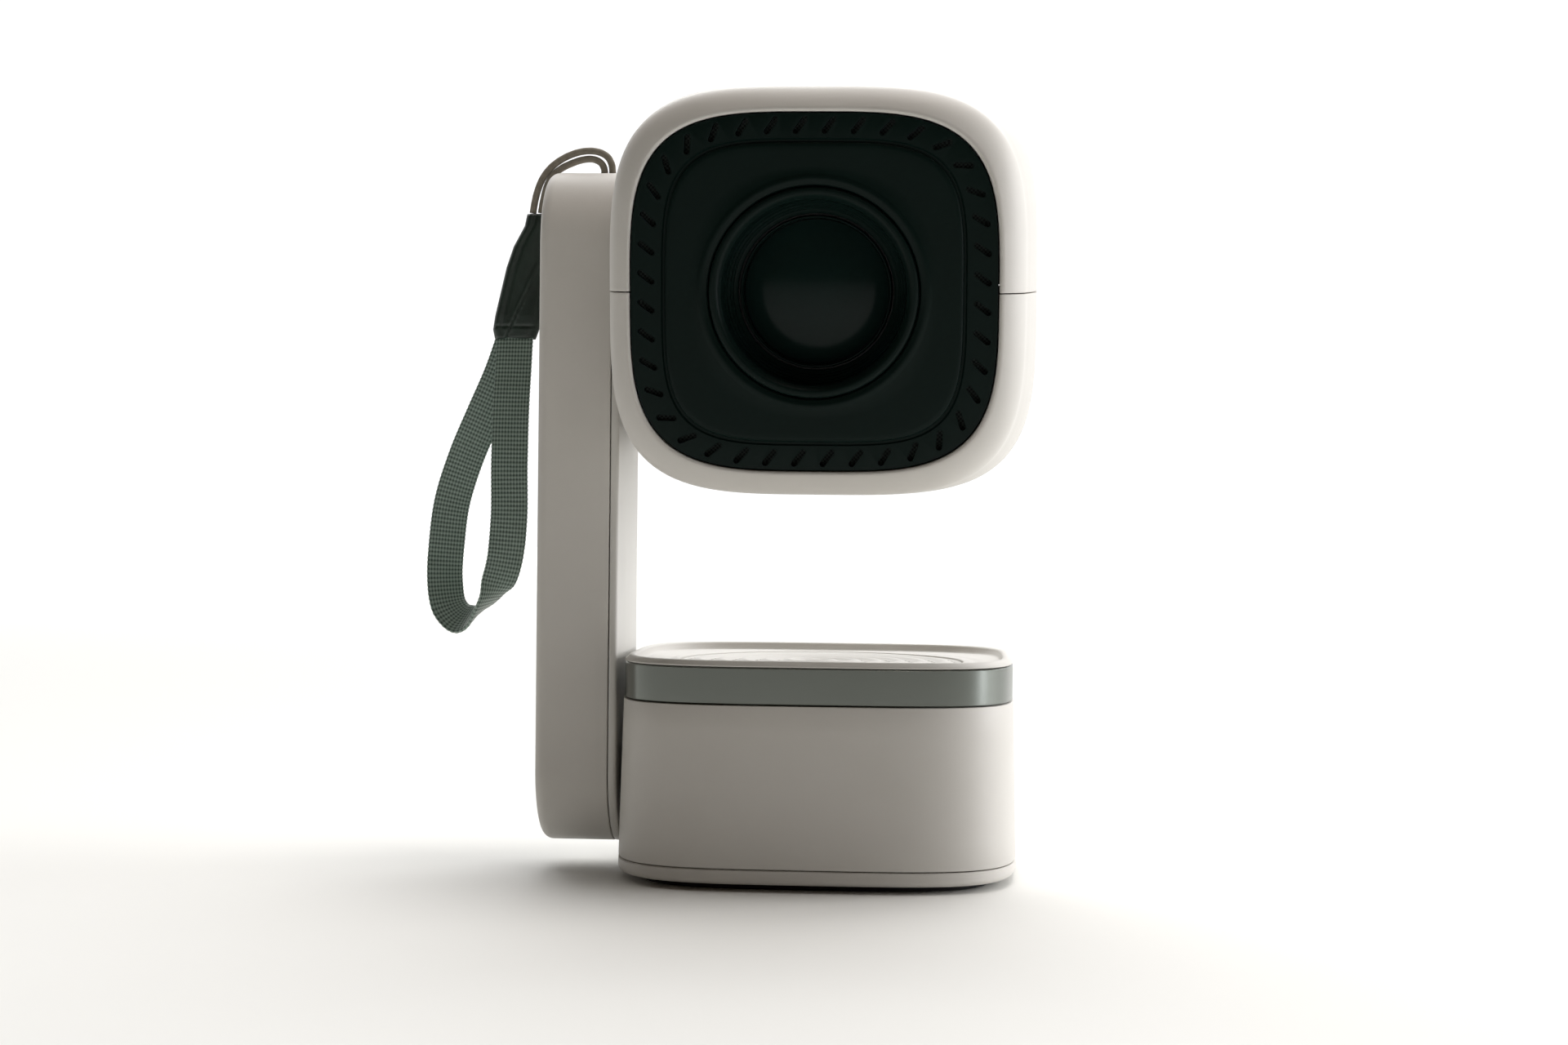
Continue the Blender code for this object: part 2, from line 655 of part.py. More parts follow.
def arm_casing():
    """A deep outer shell and a flat inner cover, which meet behind the head's side."""
    edge = ARM_EDGE
    outside = [stadium(ARM_OUTER, edge),
               stadium(ARM_OUTER + edge * 0.29, edge * 0.29),
               stadium(ARM_OUTER + edge, 0.0),
               stadium(COVER_INSIDE - GAP, 0.0)]
    inside = [stadium(COVER_INSIDE - GAP, WALL),
              stadium(ARM_OUTER + edge, WALL),
              stadium(ARM_OUTER + WALL, edge + 0.6)]
    bm = bmesh.new()
    skin(bm, [on_arm(section) for section in outside + inside])
    shell = add("arm_shell", bm, white_arm, arm)
    left, right = (ARM_INNER - inset for inset in CROWN_SLOT)
    low, high = on_arm(((left, CORD_Y - CROWN_SLOT_HALF, ARM_TOP - ARM_EDGE - 1),
                        (right, CORD_Y + CROWN_SLOT_HALF, ARM_TOP + 3)))
    cut(shell, box("cut_cord_slot", low, high, None, arm))
    sections = [stadium(COVER_INSIDE, 0.0), stadium(ARM_INNER - 0.8, 0.0), stadium(ARM_INNER, 0.8)]
    cover = loft("arm_cover", [on_arm(section) for section in sections], inner_cover, arm)
    for name, radius, height in (("cut_cover_low", SHAFT_RADIUS + GAP, ARM_PIVOT_Z),
                                 ("cut_cover_high", TILT_SHAFT_RADIUS + 2 * GAP, TILT_HEIGHT)):
        cut(cover, rod(name, radius, -6, 3, None, arm, (0, 0, height - ARM_PIVOT_Z), RIGHTWARD))


def arm_inside(bracket_end):
    """The metal spine, both hinges' hardware, the cable and the screws inside the arm."""
    low = ARM_PIVOT_Z - SPINE_DEPTH / 2
    high = TILT_HEIGHT + SPINE_DEPTH / 2
    sections = [on_arm(stadium(x, 0.0, SPINE_DEPTH, low, high, steps=8))
                for x in (SPINE_X, SPINE_X + SPINE_WALL)]
    spine = loft("arm_spine", sections, zinc, arm)
    for name, radius, height in (("cut_spine_low", SHAFT_RADIUS + GAP, ARM_PIVOT_Z),
                                 ("cut_spine_high", TILT_SHAFT_RADIUS + 2 * GAP, TILT_HEIGHT)):
        cut(spine, rod(name, radius, SPINE_X - ARM_INNER - 5, SPINE_X - ARM_INNER + 8, None, arm,
                       (0, 0, height - ARM_PIVOT_Z), RIGHTWARD))
    flange = SPINE_X - GAP - ARM_INNER
    end = bracket_end + GAP + NUT_WIDTH + 1 - ARM_INNER
    shaft = ((0, end), (SHAFT_RADIUS, end), (SHAFT_RADIUS, flange), (SHAFT_FLANGE, flange),
             (SHAFT_FLANGE, flange - 2.3), (0, flange - 2.3))
    turned("arm_shaft", shaft, steel, arm, turn=RIGHTWARD, ring=False)
    nut = bracket_end + GAP - ARM_INNER
    collar("arm_nut", NUT_RADIUS, SHAFT_RADIUS + GAP, nut, nut + NUT_WIDTH, steel, arm, turn=RIGHTWARD)
    collar("friction_washer", NUT_RADIUS + 3, TILT_SHAFT_RADIUS + GAP, flange - WASHER_WIDTH, flange,
           black_plastic, arm, (0, 0, TILT_HEIGHT - ARM_PIVOT_Z), RIGHTWARD)
    cable = [Vector((SPINE_X + x, y, z)) for x, y, z in HARNESS_ROUTE]
    tube("arm_harness", smooth_route(cable, 16), HARNESS_RADIUS, black_rubber, arm, arm_origin)
    half = BAR_LENGTH / 2
    rod("strap_bar", BAR_RADIUS, -half, half, steel, arm,
        (BAR_X - ARM_INNER, 0, BAR_HEIGHT - ARM_PIVOT_Z), FRONTWARD, steps=12)


# ---------------------------------------------------------------- head
head = joint("tilt_joint", (-ARM_INNER, 0, TILT_HEIGHT - ARM_PIVOT_Z), arm)
head.rotation_euler.x = math.radians(TILT_REST)


def head_shells():
    """One hollow block with a front ring and a rear lip, parted along its middle."""
    lip_x, lip_z = PANEL_HALF_X + GAP, PANEL_HALF_Z + GAP
    front, back = HEAD_FRONT, HEAD_BACK
    outside = [upright(front + 0.5, lip_x, lip_z, PANEL_POWER),
               upright(front, lip_x + 0.8, lip_z + 0.8, PANEL_POWER),
               upright(front + 0.7, RING_HALF_X - 1.2, RING_HALF_Z - 1.2, 3.7),
               upright(front + 2.4, RING_HALF_X, RING_HALF_Z, 3.7),
               upright(front + 12, HEAD_HALF_X - 1.6, HEAD_HALF_Z - 1.2, 3.8, HEAD_SHIFT * 0.4),
               upright(front + 26, HEAD_HALF_X - 0.3, HEAD_HALF_Z - 0.2, 3.95, HEAD_SHIFT * 0.85),
               upright(front + 42, HEAD_HALF_X, HEAD_HALF_Z, HEAD_POWER, HEAD_SHIFT),
               upright(back - 27, HEAD_HALF_X, HEAD_HALF_Z, HEAD_POWER, HEAD_SHIFT),
               upright(back - 13, HEAD_HALF_X - 1.2, HEAD_HALF_Z - 1.2, HEAD_POWER, HEAD_SHIFT),
               upright(back - 5, HEAD_HALF_X - 4.0, HEAD_HALF_Z - 4.0, HEAD_POWER, HEAD_SHIFT),
               upright(back - 1, HEAD_HALF_X - 8.3, HEAD_HALF_Z - 8.3, HEAD_POWER, HEAD_SHIFT),
               upright(back, REAR_HALF_X, REAR_HALF_Z, HEAD_POWER, HEAD_SHIFT)]
    inside = [upright(back - WALL * 2, REAR_HALF_X, REAR_HALF_Z, HEAD_POWER, HEAD_SHIFT),
              upright(back - 11, HEAD_HALF_X - 5.5, HEAD_HALF_Z - 5.5, HEAD_POWER, HEAD_SHIFT),
              upright(back - 27, HEAD_HALF_X - WALL, HEAD_HALF_Z - WALL, HEAD_POWER, HEAD_SHIFT),
              upright(front + 26, HEAD_HALF_X - WALL - 0.3, HEAD_HALF_Z - WALL - 0.2, 3.95,
                      HEAD_SHIFT * 0.85),
              upright(front + 10, RING_HALF_X - 1.4, RING_HALF_Z - 1.4, 3.8, HEAD_SHIFT * 0.2),
              upright(front + 3.4, RING_HALF_X - 2.6, RING_HALF_Z - 2.6, 3.7),
              upright(front + 3.4, lip_x, lip_z, PANEL_POWER)]
    reach = HEAD_HALF_X * 2
    for name, low, high in (("head_upper_shell", -reach, GAP / 2), ("head_lower_shell", -GAP / 2, reach)):
        shell = loft(name, outside + inside, white_casing, head, hollow=True)
        cut(shell, box("cut_" + name, (-reach, -reach, low), (reach, reach, high), None, head))
        cut(shell, rod("cut_tilt_" + name, TILT_SHAFT_RADIUS + 2 * GAP, HEAD_LEFT - 5, HEAD_LEFT + 8, None,
                       head, turn=RIGHTWARD))


def front_panel():
    """The dark front plate: a raised rounded square, a ring of slanted slots and the lens opening."""
    hole = BEZEL_RADIUS + GAP
    sections = [upright(PANEL_BACK, hole, hole, 2),
                upright(PANEL_BACK, PANEL_HALF_X, PANEL_HALF_Z, PANEL_POWER),
                upright(PANEL_FRONT, PANEL_HALF_X, PANEL_HALF_Z, PANEL_POWER),
                upright(PANEL_FRONT, RAISED_HALF + RAISED_HEIGHT, RAISED_HALF + RAISED_HEIGHT, 4),
                upright(RAISED_FRONT, RAISED_HALF, RAISED_HALF, 4),
                upright(RAISED_FRONT, hole, hole, 2)]
    panel = loft("front_panel", sections, gloss_panel, head, hollow=True)
    middle = (RAISED_HALF + RAISED_HEIGHT + PANEL_HALF_X) / 2
    bm = bmesh.new()
    for place, normal in slot_places(middle, middle - PANEL_HALF_X + PANEL_HALF_Z):
        slot = bmesh.ops.create_cube(bm, size=1)["verts"]
        bmesh.ops.scale(bm, vec=(SLOT_LENGTH, PANEL_WALL * 4, SLOT_WIDTH), verts=slot)
        angle = math.atan2(normal[1], normal[0]) - math.radians(SLOT_SWIRL)
        bmesh.ops.rotate(bm, cent=(0, 0, 0), matrix=Matrix.Rotation(-angle, 3, "Y"), verts=slot)
        bmesh.ops.translate(bm, vec=(place[0], PANEL_FRONT, place[1]), verts=slot)
    cut(panel, add("cut_slots", bm, None, head))


def slot_places(half_x, half_z):
    """Evenly spaced places round a rounded square, each with the outline's outward normal."""
    fine = squircle(half_x, half_z, PANEL_POWER, count=2400)
    fine.append(fine[0])
    reach = [0.0]
    for (x0, z0), (x1, z1) in zip(fine, fine[1:]):
        reach.append(reach[-1] + math.hypot(x1 - x0, z1 - z0))
    places, k = [], 0
    for i in range(SLOT_COUNT):
        goal = reach[-1] * (i + 0.5) / SLOT_COUNT
        while reach[k + 1] < goal:
            k += 1
        (x0, z0), (x1, z1) = fine[k], fine[k + 1]
        places.append(((x0, z0), (z1 - z0, x0 - x1)))
    return places


def rear_panel():
    """The rear plate with its exhaust louvres, socket openings and button hole."""
    half_x, half_z = REAR_HALF_X - GAP, REAR_HALF_Z - GAP
    front = REAR_FACE - REAR_WALL
    sections = [upright(front, half_x, half_z, HEAD_POWER, HEAD_SHIFT),
                upright(REAR_FACE, half_x, half_z, HEAD_POWER, HEAD_SHIFT)]
    panel = loft("rear_panel", sections, inner_cover, head)
    bm = bmesh.new()
    for i in range(LOUVRE_COUNT):
        z = (i - (LOUVRE_COUNT - 1) / 2) * LOUVRE_PITCH
        half = math.sqrt(ROTOR_RADIUS ** 2 - z ** 2)
        add_box(bm, (-half, front - 2, z - LOUVRE_WIDTH / 2), (half, REAR_FACE + 2, z + LOUVRE_WIDTH / 2))
    for _, x, width in SOCKETS:
        add_box(bm, (x - width / 2 - GAP, front - 2, SOCKET_Z - SOCKET_HEIGHT / 2 - GAP),
                (x + width / 2 + GAP, REAR_FACE + 2, SOCKET_Z + SOCKET_HEIGHT / 2 + GAP))
    for x, z in REAR_SCREWS:
        add_drill(bm, 1.5, (x, REAR_FACE, z))
    cut(panel, add("cut_rear_openings", bm, None, head))
    cut(panel, rod("cut_button_hole", BUTTON_RADIUS + GAP, -5, 5, None, head,
                   (BUTTON_X, REAR_FACE, SOCKET_Z), FRONTWARD, steps=20))
    places = [(x, REAR_FACE + GAP + 1.0, z) for x, z in REAR_SCREWS]
    screws("head_screw", places, 2.3, 1.0, 1.2, 5.0, (-math.pi / 2, 0, 0), steel, head)


def add_box(bm, low, high):
    """Add a box between two corners to a bmesh."""
    low, high = Vector(low), Vector(high)
    verts = bmesh.ops.create_cube(bm, size=1)["verts"]
    bmesh.ops.scale(bm, vec=high - low, verts=verts)
    bmesh.ops.translate(bm, vec=(low + high) / 2, verts=verts)


def add_drill(bm, radius, place, length=20.0, sides=12):
    """Add a cylinder along Y to a bmesh."""
    verts = bmesh.ops.create_cone(bm, cap_ends=True, segments=sides, radius1=radius, radius2=radius,
                                  depth=length)["verts"]
    bmesh.ops.rotate(bm, cent=(0, 0, 0), matrix=Matrix.Rotation(math.pi / 2, 3, "X"), verts=verts)
    bmesh.ops.translate(bm, vec=place, verts=verts)


def tilt_shaft():
    """The head's shaft: a flange inside the shells, and a nut inside the arm."""
    flange = HEAD_LEFT + WALL + GAP
    washer = SPINE_X - GAP - WASHER_WIDTH
    end = washer - GAP - NUT_WIDTH - 0.6
    shaft = ((0, flange + TILT_FLANGE_WIDTH), (TILT_FLANGE, flange + TILT_FLANGE_WIDTH),
             (TILT_FLANGE, flange), (TILT_SHAFT_RADIUS, flange), (TILT_SHAFT_RADIUS, end), (0, end))
    turned("tilt_shaft", shaft, steel, head, turn=RIGHTWARD, ring=False)
    collar("tilt_nut", NUT_RADIUS, TILT_SHAFT_RADIUS + GAP, end + 0.6, end + 0.6 + NUT_WIDTH, steel, head,
           turn=RIGHTWARD)


def gear(name, teeth, bore, phase, finish, parent, centre):
    """A spur gear along Y with trapezoid teeth; phase turns it so that a tooth faces that angle."""
    pitch = GEAR_MODULE * teeth / 2
    tip, root = pitch + GEAR_MODULE * 0.7, pitch - GEAR_MODULE
    step = 2 * math.pi / teeth
    outline = []
    for i in range(teeth):
        for share, radius in ((-0.30, root), (-0.12, tip), (0.12, tip), (0.30, root)):
            outline.append((phase + (i + share) * step, radius))

    def ring_at(y, inner):
        return [(math.cos(a) * (inner or r), y, math.sin(a) * (inner or r)) for a, r in outline]
    back, front = -GEAR_BACK, -GEAR_BACK - GEAR_WIDTH
    sections = [ring_at(back, 0), ring_at(front, 0), ring_at(front, bore), ring_at(back, bore)]
    return loft(name, sections, finish, parent, hollow=True, location=centre)


def lens_unit():
    """Bezel, fixed housing, sliding barrel with two elements, and the geared focus drive."""
    reach = -RAISED_FRONT
    rim = reach + 0.7
    seat = -PANEL_BACK - GAP
    edge = BEZEL_RADIUS
    bezel = ((edge - 2.7, reach - 0.4), (edge - 1.9, rim), (edge - 0.7, rim), (edge, reach),
             (edge, seat), (edge + 3, seat), (edge + 3, seat - 2), (edge - 1.9, seat - 2),
             (BEZEL_BORE + 2.6, BEZEL_BACK), (BEZEL_BORE, BEZEL_BACK), (BEZEL_BORE, BEZEL_BACK + BEZEL_LIP),
             (edge - 3.2, reach - 1.0))
    turned("lens_bezel", bezel, black_plastic, head, turn=FRONTWARD)
    bore = BARREL_RADIUS + GAP
    outer = bore + HOUSING_WALL
    flange = -ENGINE_FRONT + GAP
    foot = ENGINE_HALF_Z - FLANGE_INSET
    shelf = bore - HOUSING_SHELF
    housing = ((bore, HOUSING_FRONT), (outer, HOUSING_FRONT), (outer, flange + 2.4), (foot, flange + 2.4),
               (foot, flange), (shelf, flange), (shelf, flange + 2.0), (bore, flange + 5.0))
    turned("lens_housing", housing, black_plastic, head, turn=FRONTWARD)
    seated, rear_seated = GLASS_RADIUS + GAP, REAR_GLASS_RADIUS + GAP
    tail, shoulder = rear_seated + BARREL_TAIL_WALL, GLASS_RADIUS - GLASS_SHOULDER
    barrel = ((seated, BARREL_FRONT), (BARREL_RADIUS, BARREL_FRONT), (BARREL_RADIUS, BARREL_STEP),
              (tail, BARREL_STEP - 4), (tail, BARREL_BACK), (rear_seated, BARREL_BACK),
              (rear_seated, BARREL_STEP - 5), (shoulder, BARREL_STEP), (shoulder, GLASS_SEAT),
              (seated, GLASS_SEAT))
    turned("lens_barrel", barrel, black_plastic, head, turn=FRONTWARD)
    front = ((0, 46.6), (10.0, 45.6), (GLASS_RADIUS, 43.0), (GLASS_RADIUS, 41.6), (10.0, 41.3), (0, 41.3))
    turned("front_lens", front, glass, head, turn=FRONTWARD, ring=False)
    rear = ((0, 19.5), (8.0, 19.0), (REAR_GLASS_RADIUS, 17.8), (REAR_GLASS_RADIUS, 16.2), (8.0, 15.4), (0, 15.1))
    turned("rear_lens", rear, glass, head, turn=FRONTWARD, ring=False, steps=24)
    toward = math.radians(PINION_ANGLE)
    gear("focus_ring", RING_TEETH, outer + GAP, toward, black_plastic, head, (0, 0, 0))
    apart = GEAR_MODULE * (RING_TEETH + PINION_TEETH) / 2 + BACKLASH
    spot = (math.cos(toward) * apart, 0, math.sin(toward) * apart)
    gear("focus_pinion", PINION_TEETH, 1.3, toward + math.pi + math.pi / PINION_TEETH, satin_metal, head, spot)
    motor = ((0, GEAR_BACK + GEAR_WIDTH), (1.0, GEAR_BACK + GEAR_WIDTH), (1.0, GEAR_BACK - 1),
             (MOTOR_RADIUS, GEAR_BACK - 1), (MOTOR_RADIUS, GEAR_BACK - 1 - MOTOR_LENGTH),
             (0, GEAR_BACK - 1 - MOTOR_LENGTH))
    turned("focus_motor", motor, steel, head, spot, FRONTWARD, ring=False, steps=16)


def light_engine():
    """The engine case with its display panel, field lens, light source and heat sink."""
    case = box("engine_case", (-ENGINE_HALF_X, ENGINE_FRONT, -ENGINE_HALF_Z),
               (ENGINE_HALF_X, ENGINE_BACK, ENGINE_HALF_Z), black_plastic, head)
    inner_x, inner_z = ENGINE_HALF_X - ENGINE_WALL, ENGINE_HALF_Z - ENGINE_WALL
    cut(case, box("cut_engine", (-inner_x, ENGINE_FRONT - 5, -inner_z), (inner_x, ENGINE_BACK + 5, inner_z),
                  None, head))
    half_x, half_z = inner_x - GAP, inner_z - GAP
    box("lcd_panel", (-half_x, LCD_Y, -half_z), (half_x, LCD_Y + 1.8, half_z), glass, head)
    box("fresnel_lens", (-half_x, FRESNEL_Y, -half_z), (half_x, FRESNEL_Y + 1.6, half_z), glass, head)
    box("led_module", (-17, ENGINE_BACK + GAP, -17), (17, SINK_FRONT - GAP, 17), satin_metal, head)
    half = FAN_HALF
    pitch = 2 * half / (FIN_COUNT * 2 - 1)
    outline = [(-half, SINK_FRONT)]
    for i in range(FIN_COUNT):
        left = -half + i * 2 * pitch
        outline += [(left, SINK_BACK), (left + pitch, SINK_BACK)]
        if i < FIN_COUNT - 1:
            outline += [(left + pitch, SINK_FRONT + SINK_BASE), (left + 2 * pitch, SINK_FRONT + SINK_BASE)]
    outline.append((half, SINK_FRONT))
    sections = [[(x, y, z) for x, y in outline] for z in (-half + 1, half - 1)]
    loft("heat_sink", sections, alloy_sink, head)


def cooling_fan():
    """A square-framed axial fan behind the heat sink."""
    half = FAN_HALF
    frame = box("fan_frame", (-half, FAN_FRONT, -half), (half, FAN_BACK, half), black_plastic, head)
    cut(frame, rod("cut_fan", FAN_BORE, -FAN_BACK - 3, -FAN_FRONT + 3, None, head, turn=FRONTWARD))
    bm = bmesh.new()
    low, high = FAN_FRONT + 1.5, FAN_BACK - 1.5
    hub = bmesh.ops.create_cone(bm, cap_ends=True, segments=20, radius1=HUB_RADIUS, radius2=HUB_RADIUS,
                                depth=high - low)["verts"]
    bmesh.ops.rotate(bm, cent=(0, 0, 0), matrix=Matrix.Rotation(math.pi / 2, 3, "X"), verts=hub)
    hub_body = add("fan_rotor", bm, black_plastic, head, (0, (low + high) / 2, 0))
    bm = bmesh.new()
    for i in range(BLADE_COUNT):
        verts = bmesh.ops.create_cube(bm, size=1)["verts"]
        reach = ROTOR_RADIUS - HUB_RADIUS + 2
        bmesh.ops.scale(bm, vec=(reach, 1.2, 9.0), verts=verts)
        bmesh.ops.rotate(bm, cent=(0, 0, 0), matrix=Matrix.Rotation(math.radians(38), 3, "X"), verts=verts)
        bmesh.ops.translate(bm, vec=(HUB_RADIUS - 2 + reach / 2, 0, 0), verts=verts)
        bmesh.ops.rotate(bm, cent=(0, 0, 0), verts=verts,
                         matrix=Matrix.Rotation(2 * math.pi * i / BLADE_COUNT, 3, "Y"))
    blades = add("join_blades", bm, None, head, (0, (low + high) / 2, 0))
    join(hub_body, blades)


def electronics():
    """The main board with its sockets, and the power button with its switch."""
    top = MAINBOARD_Z + BOARD_WALL
    box("mainboard", (-38, -30, MAINBOARD_Z), (40, 44, top), circuit_board, head)
    back = REAR_FACE - 0.4
    for name, x, width in SOCKETS:
        low = (x - width / 2, back - SOCKET_DEPTH, SOCKET_Z - SOCKET_HEIGHT / 2)
        high = (x + width / 2, back, SOCKET_Z + SOCKET_HEIGHT / 2)
        socket = box(name, low, high, satin_metal if name != "audio_socket" else black_plastic, head)
        if name == "audio_socket":
            cut(socket, rod("cut_" + name, 1.8, -back - 3, -back + SOCKET_DEPTH - 2, None, head,
                            (x, 0, SOCKET_Z), FRONTWARD, steps=16))
        else:
            wall = Vector((0.7, 0, 0.7))
            cut(socket, box("cut_" + name, Vector(low) + wall + Vector((0, 2, 0)),
                            Vector(high) - wall + Vector((0, 3, 0)), None, head))
    face = REAR_FACE + 0.9
    stem = REAR_FACE - REAR_WALL - 1.0
    cap = ((0, -stem), (BUTTON_RADIUS + 1.2, -stem), (BUTTON_RADIUS + 1.2, -stem - 0.6),
           (BUTTON_RADIUS, -stem - 0.6), (BUTTON_RADIUS, -face + 0.5), (BUTTON_RADIUS - 0.5, -face), (0, -face))
    turned("power_button", cap, grey_plastic, head, (BUTTON_X, 0, SOCKET_Z), FRONTWARD, ring=False, steps=24)
    switch = stem - BUTTON_TRAVEL - GAP
    box("button_switch", (BUTTON_X - 4, switch - 4, SOCKET_Z - 3), (BUTTON_X + 4, switch, SOCKET_Z + 3),
        black_plastic, head)


# ---------------------------------------------------------------- hand strap
# The cord leaves the connector, crosses the arm's crown, turns round the bar and comes back below itself.
CORD_ROUTE = ((-85.3, 187.8), (-84.9, 190.5), (-84.1, 194.0), (-82.7, 197.6), (-80.4, 200.8), (-77.2, 203.3),
              (-73.6, 205.0), (-70.0, 205.8), (-66.6, 205.6), (-63.9, 204.3), (-62.5, 202.0), (-62.1, 199.0),
              (-61.4, 195.0), (-60.8, 191.0), (-60.7, 187.5), (-61.96, 184.46), (-65.0, 183.2),
              (-68.04, 184.46), (-69.3, 187.5), (-68.8, 190.6), (-67.1, 193.8), (-65.2, 196.8),
              (-64.5, 199.6), (-65.2, 201.9), (-66.8, 203.1), (-68.9, 203.5), (-71.6, 203.1), (-74.4, 202.1),
              (-77.2, 200.7), (-79.7, 198.6), (-81.3, 195.5), (-82.3, 191.5), (-82.9, 187.8))
# Centre line of the webbing, from the connector's front face down, round and up to its back
WEBBING_ROUTE = ((-90.0, 1.0, 151.6), (-90.0, -1.5, 142.0), (-90.1, -4.0, 131.0), (-90.1, -6.0, 115.0),
                 (-90.0, -6.5, 99.0), (-91.8, -5.5, 85.0), (-97.0, -2.0, 74.8), (-104.0, 2.8, 69.8),
                 (-109.6, 7.0, 73.0), (-111.6, 9.5, 81.0), (-111.4, 10.3, 91.0), (-109.8, 10.3, 104.0),
                 (-106.2, 9.2, 117.0), (-101.6, 7.4, 129.0), (-96.8, 5.2, 141.0), (-93.5, 3.4, 151.6))
# Which way the webbing's width points along that line
WEBBING_WIDTH = ((1, 0, 0), (1, 0, 0), (1, 0, 0), (1, 0.1, 0), (1, 0.2, 0.05), (0.9, 0.3, 0.3),
                 (0.7, 0.4, 0.6), (0.5, 0.5, 0.75), (0.7, 0.5, 0.55), (0.9, 0.35, 0.25), (1, 0.2, 0.1),
                 (1, 0.1, 0.1), (1, 0, 0.15), (1, 0, 0.15), (1, 0, 0.1), (1, 0, 0))
# The leather sleeve's height, left and right edges from the arm's outer face, and thickness
CONNECTOR = ((187.5, -7.3, -1.7, 3.6), (184.0, -8.0, -2.0, 4.2), (178.0, -11.2, -2.4, 4.8),
             (172.0, -13.2, -2.6, 5.0), (158.0, -16.4, -3.0, 5.4), (154.0, -17.0, -3.6, 5.0),
             (152.6, -16.4, -4.6, 4.4))


def hand_strap():
    cord = [Vector((x, CORD_Y, z)) for x, z in CORD_ROUTE]
    tube("strap_cord", smooth_route(cord, 52), CORD_RADIUS, cord_braid, arm, arm_origin)
    sections = []
    for z, left, right, thick in CONNECTOR:
        outline = squircle((right - left) / 2, thick / 2, 3, ARM_OUTER + (left + right) / 2, 16)
        sections.append(on_arm([(x, y + CORD_Y, z) for x, y in outline]))
    loft("strap_connector", sections, strap_leather, arm)
    centres = smooth_route([Vector(p) for p in WEBBING_ROUTE], 40)
    widths = smooth_route_share([Vector(p) for p in WEBBING_ROUTE], [Vector(w) for w in WEBBING_WIDTH], centres)
    sections = []
    for i, (centre, width) in enumerate(zip(centres, widths)):
        along = centres[min(i + 1, 39)] - centres[max(i - 1, 0)]
        normal = along.cross(width).normalized()
        across = normal.cross(along).normalized() * STRAP_WIDTH / 2
        lift = normal * STRAP_THICKNESS / 2
        sections.append(on_arm([centre - across - lift, centre + across - lift,
                                centre + across + lift, centre - across + lift]))
    loft("strap_webbing", sections, strap_weave, arm)


def smooth_route_share(route, values, places):
    """The values given at the route's points, blended at each place by nearness to the route."""
    blended = []
    for place in places:
        weights = [1 / ((place - point).length + 0.5) ** 3 for point in route]
        total = sum(weights)
        blended.append(sum((value * (weight / total) for value, weight in zip(values, weights)), Vector()))
    return blended


for build in (foot_pad, base_plate, base_shell, trim_band, top_cover, speaker_grille, loudspeaker,
              battery, power_inlet, arm_casing, head_shells, front_panel, rear_panel, tilt_shaft,
              lens_unit, light_engine, cooling_fan, electronics, hand_strap):
    build()
arm_inside(base_hinge())
base_screw_tops = [(x, y, PLATE_Z + GAP) for x, y in base_screw_places()]
screws("base_screw", base_screw_tops, SCREW_HEAD, SCREW_HEAD_HEIGHT, SCREW_SHANK, SCREW_LENGTH,
       (math.pi, 0, 0), steel)
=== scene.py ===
"""Looks of a compact home projector: a head on a one-sided arm over a speaker base, with a hand strap.

The origin is the centre of the base's underside. X runs to the right, the lens faces -Y and Z is up.
Sizes below are in millimetres, and each piece is scaled to metres when it is placed.
"""
import json
import math

import bmesh
import bpy
from mathutils import Matrix, Vector


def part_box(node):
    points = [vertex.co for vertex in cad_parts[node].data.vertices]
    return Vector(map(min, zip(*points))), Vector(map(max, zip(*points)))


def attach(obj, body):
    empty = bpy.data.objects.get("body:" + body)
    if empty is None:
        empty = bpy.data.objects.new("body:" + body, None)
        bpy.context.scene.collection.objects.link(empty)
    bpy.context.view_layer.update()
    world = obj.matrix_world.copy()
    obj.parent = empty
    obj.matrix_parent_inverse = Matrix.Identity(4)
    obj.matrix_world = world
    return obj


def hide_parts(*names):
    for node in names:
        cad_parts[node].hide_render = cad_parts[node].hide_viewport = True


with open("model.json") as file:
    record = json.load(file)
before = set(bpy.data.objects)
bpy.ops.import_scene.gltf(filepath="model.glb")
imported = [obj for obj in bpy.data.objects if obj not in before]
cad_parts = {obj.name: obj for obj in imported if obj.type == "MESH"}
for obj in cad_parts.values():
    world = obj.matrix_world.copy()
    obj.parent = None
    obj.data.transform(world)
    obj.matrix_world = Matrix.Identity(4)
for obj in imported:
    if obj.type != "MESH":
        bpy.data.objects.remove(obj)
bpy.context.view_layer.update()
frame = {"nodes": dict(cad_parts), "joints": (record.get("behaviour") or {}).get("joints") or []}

# ---------------------------------------------------------------- camera
# A 60 mm lens on a full-frame body, three quarters of a metre in front of the projector and a little
# to its right, at the height of the arm's middle and turned by half a degree about its own axis.
MM = 0.001
VIEW_TURN = math.radians(4.0)
VIEW_DROP = math.radians(0.43)
VIEW_ROLL = math.radians(0.6)

eye = bpy.data.cameras.new("eye")
eye.lens = 60
eye.sensor_width = 36
eye.clip_start, eye.clip_end = 0.05, 100
camera = bpy.data.objects.new("camera", eye)
bpy.context.scene.collection.objects.link(camera)
camera.matrix_world = (Matrix.Translation(Vector((41.05, -748.96, 104.6)) * MM)
                       @ Matrix.Rotation(VIEW_TURN, 4, "Z")
                       @ Matrix.Rotation(math.pi / 2 - VIEW_DROP, 4, "X")
                       @ Matrix.Rotation(VIEW_ROLL, 4, "Z"))
bpy.context.scene.camera = camera


